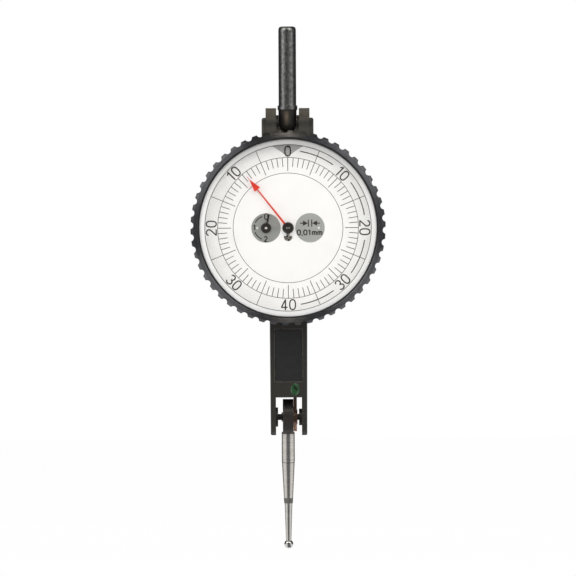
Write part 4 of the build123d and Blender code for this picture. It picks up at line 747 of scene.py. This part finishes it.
# %% Bezel's section
LEDGE = ring_high[1]
SEAT_RADIUS = ring_high[0] + 0.02
BORE_RADIUS = 19.05
GASKET_RADIUS = gasket_high[0]
GROOVE_RADIUS, GROOVE_FRONT, GROOVE_BACK = 19.4, -5.85, -5.05
EASE = 0.06
bezel_corners = [
    (BORE_RADIUS, GROOVE_BACK),
    (BORE_RADIUS, bezel_high[1]),
    (BEZEL_RADIUS - 1.5, bezel_high[1]),
    (BEZEL_RADIUS, bezel_high[1] - 1.0),
    (BEZEL_RADIUS, bezel_low[1] + 0.75),
    (BEZEL_RADIUS - 0.6, bezel_low[1] + EASE),
    (GASKET_RADIUS + 2 * EASE, bezel_low[1]),
    (GASKET_RADIUS, bezel_low[1] + EASE),
    (GASKET_RADIUS, gasket_high[1]),
    (SEAT_RADIUS, gasket_high[1]),
    (SEAT_RADIUS, LEDGE),
    (BORE_RADIUS, LEDGE),
    (BORE_RADIUS, GROOVE_FRONT),
    (GROOVE_RADIUS, GROOVE_FRONT),
    (GROOVE_RADIUS, GROOVE_BACK),
]
bezel_profile = softened(bezel_corners, 0.1, 4)
radius = np.minimum(bezel_profile[:, 0, None], flute_radius[None])
depth = np.broadcast_to(bezel_profile[:, 1, None], radius.shape)
bezel_grid = np.stack([radius * np.sin(turns), depth, DIAL_Z + radius * np.cos(turns)], axis=-1)
bezel_piece = grid_piece("grip_ring", bezel_grid, wrap_rows=True)
dress(bezel_piece, "bezel", "black_anodised", bezel_black, "bezel")
# Walls of the grip, whose normal lies more than 60 degrees off the dial's axis, take the grip's finish
add_finishes(bezel_piece, np.abs(face_values(bezel_piece, "normal")[:, 1]) < 0.5, grip_black)

# %% [markdown]
# ## Crystal
# A thin flat window and its bevelled wall. They are two closed solids with a hair of air between
# them, because they need two finishes.

# %% Crystal
WALL, HAIR = crystal_high[0] - 1.15, 0.01
WINDOW_THICK, BEVEL = 1.2, 1.0
window_corners = [
    (0, crystal_low[1]),
    (WALL - HAIR, crystal_low[1]),
    (WALL - HAIR, crystal_low[1] + WINDOW_THICK),
    (0, crystal_low[1] + WINDOW_THICK),
]
window_profile = softened(window_corners, 0.04, 3)
window_grid = turn_profile(window_profile, (0, 0, DIAL_Z), Y_AXIS, X_AXIS, 144)
dress(grid_piece("crystal_window", window_grid), "bezel", "crystal", window_clear, "crystal")
rim_corners = [
    (WALL, crystal_low[1]),
    (WALL, crystal_high[1]),
    (crystal_high[0], crystal_high[1]),
    (crystal_high[0], crystal_low[1] + BEVEL),
]
rim_profile = softened(rim_corners + [rim_corners[0]], 0.04, 3)[:-1]
rim_grid = turn_profile(rim_profile, (0, 0, DIAL_Z), Y_AXIS, X_AXIS, 144)
dress(grid_piece("crystal_rim", rim_grid, wrap_rows=True), "bezel", "crystal", rim_clear)

# %% [markdown]
# ## Printing the dial
# Ink lies a hundredth of a millimetre proud. Every mark is a strip in the dial's own plane, with u
# to the right and v up from the centre: a tick is a straight strip, a circle is a closed one, and a
# numeral is the path of a pen with a constant width. One helper lifts all strips of a colour onto
# the dial and gives them their thickness.

# %% Ink helpers
INK = 0.012


def ring_point(radius, degrees):
    """Point at a radius and an angle clockwise from the top."""
    turn = np.radians(degrees)
    return np.stack(np.broadcast_arrays(radius * np.sin(turn), radius * np.cos(turn)), axis=-1)


def pen(path, width):
    """Strip of a pen stroke: each point of the path moved half the width to both sides of its direction."""
    path = np.asarray(path, float)
    direction = np.gradient(path, axis=0)
    direction /= np.linalg.norm(direction, axis=1, keepdims=True)
    aside = np.stack([-direction[:, 1], direction[:, 0]], axis=1) * width / 2
    return np.stack([path + aside, path - aside], axis=1)


def ring_arc(radius, start, end, width, steps=24):
    """Strip along part of a circle."""
    turn = np.linspace(start, end, steps)
    return np.stack([ring_point(radius + width / 2, turn), ring_point(radius - width / 2, turn)], axis=1)


def spoke(inner, outer, degrees, width):
    """Strip along a radius."""
    return pen(np.stack([ring_point(inner, degrees), ring_point(outer, degrees)]), width)


def print_marks(name, strips, depth, body, centre_x=0.0, ink=dial_ink):
    """One piece from many strips, each a rows by columns by 2 grid, printed on the plane y = depth of a body."""
    points, faces, count = [], [], 0
    for strip in strips:
        rows, columns = strip.shape[:2]
        flat = strip.reshape(-1, 2)
        quads = grid_faces(rows, columns, False, False)
        a, b, d = flat[quads[0, 0]], flat[quads[0, 1]], flat[quads[0, 3]]
        if (b - a)[0] * (d - a)[1] - (b - a)[1] * (d - a)[0] < 0:
            quads = quads[:, ::-1]
        points.append(np.stack([flat[:, 0] + centre_x, np.full(len(flat), depth), flat[:, 1] + DIAL_Z], axis=1))
        faces.append(quads + count)
        count += len(flat)
    mesh = bpy.data.meshes.new(name)
    mesh.from_pydata((np.vstack(points) * MM).tolist(), [], np.vstack(faces).tolist())
    piece = add_object(name, mesh)
    thickness = piece.modifiers.new("thickness", "SOLIDIFY")
    thickness.thickness, thickness.offset = INK * MM, 1.0
    dress(piece, body, "white_dial", ink)


# %% [markdown]
# ### Numerals
# The numerals are a light engraver's face: each is drawn as pen paths in a box one unit high, from
# lines, arcs of ellipses and, for the zero, a fuller oval.

# %% Numerals
def ellipse(x, y, across, high, start, end, steps=28):
    """Points of an ellipse from start to end, in degrees anticlockwise from the right."""
    turn = np.radians(np.linspace(start, end, steps))
    return np.stack([x + across * np.cos(turn), y + high * np.sin(turn)], axis=1)


def squarish(x, y, across, high, steps=64):
    """Closed oval with fuller shoulders than an ellipse: both coordinates are raised to the power 0.8."""
    turn = np.linspace(0, 2 * math.pi, steps + 1)
    c, s = np.cos(turn), np.sin(turn)
    return np.stack([x + across * np.sign(c) * np.abs(c) ** 0.8, y + high * np.sign(s) * np.abs(s) ** 0.8], axis=1)


def line(*points):
    return np.array(points, float)


GLYPHS = {
    "0": [squarish(0.31, 0.5, 0.26, 0.45)],
    "1": [line((0.36, 0), (0.36, 1)), line((0.4, 0.97), (0.12, 0.76))],
    "2": [
        np.vstack([ellipse(0.3, 0.7, 0.25, 0.25, 172, -38), line((0.09, 0.09), (0.05, 0.03))]),
        line((0.03, 0.05), (0.59, 0.05)),
    ],
    "3": [ellipse(0.3, 0.725, 0.22, 0.225, 160, -90), ellipse(0.3, 0.275, 0.26, 0.225, 90, -165)],
    "4": [line((0.42, 0), (0.42, 1)), line((0.43, 0.98), (0.06, 0.27)), line((0.02, 0.26), (0.6, 0.26))],
    ",": [line((0.12, 0.1), (0.04, -0.16))],
    "m": [
        line((0.06, 0), (0.06, 0.7)),
        np.vstack([ellipse(0.22, 0.48, 0.16, 0.18, 180, 0, 14), line((0.38, 0))]),
        np.vstack([ellipse(0.54, 0.48, 0.16, 0.18, 180, 0, 14), line((0.7, 0))]),
    ],
}
ADVANCE = {"0": 0.76, "1": 0.62, "2": 0.76, "3": 0.74, "4": 0.76, ",": 0.3, "m": 0.9}


def lettering(text, height, weight, radius=0.0, degrees=0.0, turn=0.0, centre=(0.0, 0.0), stretch=1.0):
    """Strips of a line of text, centred at a radius and angle (or at `centre`), turned clockwise by `turn`."""
    width = sum(ADVANCE[letter] for letter in text) - 0.14
    middle = ring_point(radius, degrees) + np.array(centre)
    turned = math.radians(turn)
    right, up = np.array([math.cos(turned), -math.sin(turned)]), np.array([math.sin(turned), math.cos(turned)])
    strips, start = [], -width / 2
    for letter in text:
        for path in GLYPHS[letter]:
            placed = (path + (start, -0.5)) * (height * stretch, height)
            strip = pen(placed, weight)
            strips.append(middle + strip[..., :1] * right + strip[..., 1:] * up)
        start += ADVANCE[letter]
    return strips


# %% Scale ring print
TICK_CIRCLE, LINE_CIRCLE, OUTER_CIRCLE = 16.0, 17.6, 18.92
LONG_TICK, SHORT_TICK, TICK_PEN = 12.95, 13.9, 0.15
DIVISIONS = 80
scale_marks = [
    spoke(SHORT_TICK if number % 5 else LONG_TICK, TICK_CIRCLE, number * 360 / DIVISIONS, TICK_PEN)
    for number in range(DIVISIONS)
]
scale_marks += [spoke(TICK_CIRCLE, OUTER_CIRCLE, number * 22.5, 0.13) for number in range(1, 16, 2)]
scale_marks += [ring_arc(TICK_CIRCLE, 0, 360, 0.12, 361), ring_arc(OUTER_CIRCLE, 0, 360, 0.14, 361)]
scale_marks += [ring_arc(LINE_CIRCLE, turn + 9.2, turn + 35.8, 0.22) for turn in range(0, 180, 45)]
print_marks("scale_marks", scale_marks, DIAL_FACE, "bezel")

NUMERAL_CIRCLE, NUMERAL_HIGH, NUMERAL_PEN = 17.45, 2.5, 0.29
numerals = lettering("0", 0.98 * NUMERAL_HIGH, NUMERAL_PEN, NUMERAL_CIRCLE)
for degrees, text in ((45, "10"), (90, "20"), (135, "30"), (-45, "10"), (-90, "20"), (-135, "30"), (180, "40")):
    turn = degrees if abs(degrees) <= 90 else degrees - 180 * np.sign(degrees)
    numerals += lettering(text, NUMERAL_HIGH, NUMERAL_PEN, NUMERAL_CIRCLE, degrees, turn)
print_marks("scale_numerals", numerals, DIAL_FACE, "bezel")

# The grey marker at zero: a wedge whose angle shrinks to nothing as its radius goes from top to tip
MARKER_TOP, MARKER_TIP, MARKER_HALF = OUTER_CIRCLE - 0.07, TICK_CIRCLE + 0.05, 10.6
share = np.linspace(0, 1, 9)[:, None]
sweep = np.linspace(-MARKER_HALF, MARKER_HALF, 13)[None]
marker = ring_point(MARKER_TOP + share * (MARKER_TIP - MARKER_TOP), sweep * (1 - share))
print_marks("zero_marker", [marker], DIAL_FACE, "bezel", ink=pale_ink)

# %% [markdown]
# ### Centre discs
# Two sunk discs carry the turn counter's print on the left and the reading on the right. Each is held
# by a small rivet, and a small plate sits on the hubs of both hands; their pale colour is a painted glint.

# %% Centre discs
DISC_RADIUS, HUB_HOLE = 3.34, 0.55
SUNK, FOIL = 0.12, 0.03
FOIL_FACE, FOIL_BACK = DIAL_FACE + SUNK - FOIL, DIAL_FACE + SUNK
for name, x, hole, finish in (
    ("counter_foil", COUNTER_X, HUB_HOLE, left_foil),
    ("reading_foil", -COUNTER_X, 0.0, right_foil),
):
    corners = [(hole, FOIL_FACE), (DISC_RADIUS, FOIL_FACE), (DISC_RADIUS, FOIL_BACK), (hole, FOIL_BACK)]
    grid = turn_profile(corners, (x, 0, DIAL_Z), Y_AXIS, X_AXIS)
    dress(grid_piece(name, grid, wrap_rows=hole > 0), "case", "white_dial", finish)

counter_marks = [ring_arc(2.72, -18, -63, 0.24), ring_arc(2.68, -111, -160, 0.24)]
counter_marks += lettering("0", 1.45, 0.24, centre=(0.05, 2.6))
counter_marks += lettering("1", 1.2, 0.27, centre=(-2.72, 0.15))
counter_marks += lettering("2", 1.25, 0.27, centre=(-0.08, -2.5))
print_marks("counter_marks", counter_marks, FOIL_FACE, "case", COUNTER_X)

BAR_X, ARROW_V = 0.38, 1.05
reading_marks = []
for text, x in (("0,0", -1.81), ("1", -0.22), ("mm", 1.6)):
    reading_marks += lettering(text, 1.18, 0.28, centre=(x, -1.05), stretch=1.18)
for side in (-1, 1):
    reading_marks.append(pen(line((side * BAR_X, ARROW_V - 0.8), (side * BAR_X, ARROW_V + 0.8)), 0.25))
    reading_marks.append(pen(line((side * 1.3, ARROW_V), (side * 2.25, ARROW_V)), 0.24))
    tip, base = side * 0.46, side * 1.6
    head = [[(tip, ARROW_V), (tip, ARROW_V - 1e-3)], [(base, ARROW_V + 0.6), (base, ARROW_V - 0.6)]]
    reading_marks.append(np.array(head))
print_marks("reading_marks", reading_marks, FOIL_FACE, "case", -COUNTER_X)

# %% Rivets and hub tops
RIVET_X, RIVET_RADIUS, RIVET_HIGH = 7.0, 0.27, 0.1
bulge = np.linspace(0, math.pi / 2, 8)
dome = np.stack([RIVET_RADIUS * np.sin(bulge), -RIVET_HIGH * np.cos(bulge)], axis=1)
# The rivets' pale colour is a painted glint
for name, x in (("left_rivet", -RIVET_X), ("right_rivet", RIVET_X)):
    grid = turn_profile(np.vstack([dome, [(0, 0)]]), (x, FOIL_FACE, DIAL_Z), Y_AXIS, X_AXIS, 32)
    dress(grid_piece(name, grid), "case", "spring_steel", painted_glint)

PROUD, ROOTED = 0.05, -0.02


def glint_plate(name, outline, x, front, body):
    """Small plate on a hub, pale as a painted glint: the outline, u right and v up from the dial's axis, stands PROUD
    of the plane y = front.
    """
    outline = np.array(outline)
    rows = []
    for share, lift in ((0, PROUD), (1, PROUD), (1, ROOTED), (0, ROOTED)):
        u, v = outline[:, 0] * share + x, outline[:, 1] * share + DIAL_Z
        rows.append(np.stack([u, np.full(len(outline), front - lift), v], axis=1))
    dress(grid_piece(name, np.array(rows)), body, "dark_steel", painted_glint)


hand_front = min(counter_low[1], box_mm("counter_arbor")[0][1])
glint_plate("pointer_end", [(-0.4, -0.15), (0.4, -0.15), (0.4, 0.15), (-0.4, 0.15)], 0, pointer_low[1], "pointer")
glint_plate("counter_end", [(-0.34, -0.2), (0.34, -0.2), (0, 0.3)], COUNTER_X, hand_front, "counter")

# %% [markdown]
# ## Studio
# A plain pale floor, a large soft lamp on each side of the camera and a small warm one above. The
# background is white to the camera, to mirrors and through glass, while the world's own light stays
# low. A dark wall that only reflections can see stands for the unlit room and darkens the metal's
# middle and edges; cards on the floor do so below. A lamp behind the object and one near the
# camera's line fill its shadows and are kept out of reflections.

# %% Floor and world
FLOOR_Z = ball_low[2] - 0.05
FLOOR_REACH, FLOOR_GLOW, SOFT_LIGHT = 4000.0, 0.985, 0.16
WHITE = (1, 1, 1, 1)


def seen_by(tree, *kinds):
    """1 for rays of the given kinds, which see the background white, and 0 for all others."""
    rays = node(tree, "LightPath").outputs
    seen = rays[f"Is {kinds[0]} Ray"]
    for kind in kinds[1:]:
        seen = number_math(tree, "MAXIMUM", seen, rays[f"Is {kind} Ray"])
    return seen


ends = (-FLOOR_REACH, FLOOR_REACH)
floor = grid_piece("floor", np.array([[(x, y, FLOOR_Z) for x in ends] for y in ends]), wrap_columns=False)
floor_finish = new_finish("floor_pale", (240, 240, 240), 0.0, 0.6)
tree = floor_finish.node_tree
white = node(tree, "Emission", {"Color": WHITE, "Strength": 1.0}).outputs[0]
shown = number_math(tree, "MULTIPLY", seen_by(tree, "Camera", "Glossy"), FLOOR_GLOW)
show(floor_finish, mix_shaders(tree, shown, shader_of(floor_finish).outputs[0], white))
floor.data.materials.append(floor_finish)

world = bpy.data.worlds.new("studio")
bpy.context.scene.world = world
tree = empty_tree(world)
soft = node(tree, "Background", {"Color": WHITE, "Strength": SOFT_LIGHT}).outputs[0]
white = node(tree, "Background", {"Color": WHITE, "Strength": 1.0}).outputs[0]
seen = seen_by(tree, "Camera", "Glossy", "Transmission")
node(tree, "OutputWorld", {"Surface": mix_shaders(tree, seen, soft, white)})
print("floor at", round(FLOOR_Z, 2), "mm")

# %% Unlit room and floor cards
ROOM_RADIUS, ROOM_HEIGHT = 1200.0, 1400.0
rise = np.linspace(0, math.pi / 2, 12)
dome = np.stack([ROOM_RADIUS * np.cos(rise), ROOM_HEIGHT * np.sin(rise) + FLOOR_Z - 1], axis=1)
room = grid_piece("unlit_room", turn_profile(dome, (0, 0, 0), Z_AXIS, X_AXIS, 48))


def floor_fan(name, near, start, end, lift):
    """Flat fan on the floor: arcs about the stylus's foot from `near` out to the room, between two azimuths."""
    turn = np.radians(np.linspace(start, end, 60))[None]
    out = np.array([near, ROOM_RADIUS - 5])[:, None]
    grid = np.stack([out * np.sin(turn), -out * np.cos(turn) + BALL[1], np.full((2, 60), FLOOR_Z + lift)], axis=-1)
    return grid_piece(name, grid, wrap_columns=False)


COOL = (0.9, 0.93, 1.0, 1)
for thing, colour, strength in (
    (room, (0.95, 0.97, 1.0, 1), 0.05),
    (floor_fan("front_card", 0.5, -34, 34, 0.3), COOL, 0.19),
    (floor_fan("back_card", 12, 112, 248, 0.3), WHITE, 0.2),
    (floor_fan("far_card", 330, 34, 326, 0.2), COOL, 0.08),
):
    finish = bpy.data.materials.new(thing.name)
    tree = empty_tree(finish)
    glow = node(tree, "Emission", {"Color": colour, "Strength": strength})
    node(tree, "OutputMaterial", {"Surface": glow.outputs[0]})
    thing.data.materials.append(finish)
    thing.visible_camera = thing.visible_diffuse = thing.visible_transmission = thing.visible_shadow = False
    print(thing.name, "glows at", strength)


# %% Lamps
def soft_lamp(name, azimuth, elevation, size, power, colour=(1, 1, 1), distance=620.0):
    """Oval soft lamp at an azimuth to the right of the camera and an elevation, in degrees, aimed at the dial."""
    turn, rise = math.radians(azimuth), math.radians(elevation)
    away = np.array([math.sin(turn) * math.cos(rise), -math.cos(turn) * math.cos(rise), math.sin(rise)])
    data = bpy.data.lights.new(name, "AREA")
    data.shape, data.size, data.size_y = "ELLIPSE", size[0] * MM, size[1] * MM
    data.energy, data.color = power, colour
    lamp = add_object(name, data)
    lamp.location = np.array([0, 0, DIAL_Z * MM]) + away * distance * MM
    lamp.rotation_euler = Vector(-away).to_track_quat("-Z", "Y").to_euler()
    return lamp


soft_lamp("left_lamp", -50, 32, (480, 480), 1.32)
soft_lamp("right_lamp", 38, 30, (420, 420), 1.0)
soft_lamp("left_strip", -65, 6, (230, 480), 0.38)
soft_lamp("right_strip", 64, 6, (180, 480), 0.29)
soft_lamp("top_lamp", 0, 42, (50, 200), 0.32, (1, 0.9, 0.74))
soft_lamp("back_lamp", 180, 35, (300, 300), 1.8).visible_glossy = False
soft_lamp("fill_lamp", 0, 12, (500, 500), 1.92, distance=800.0).visible_glossy = False
print("lamps:", len(bpy.data.lights))

# %% Camera
PHOTO_WIDTH = 130.9
FRAME_X, FRAME_Z, FRAME_TILT = -0.077, -41.52, math.radians(0.284)
LENS, SENSOR = 1500.0, 36.0
camera_data = bpy.data.cameras.new("camera")
camera_data.lens, camera_data.sensor_width = LENS, SENSOR
camera_data.clip_start, camera_data.clip_end = 0.1, 100.0
camera = add_object("camera", camera_data)
distance = PHOTO_WIDTH * LENS / SENSOR
camera.location = (FRAME_X * MM, (DIAL_FACE - distance) * MM, FRAME_Z * MM)
camera.rotation_euler = (math.pi / 2, FRAME_TILT, 0)
bpy.context.scene.camera = camera
bpy.context.scene.view_settings.view_transform = "Standard"
print("camera distance", round(distance), "mm")
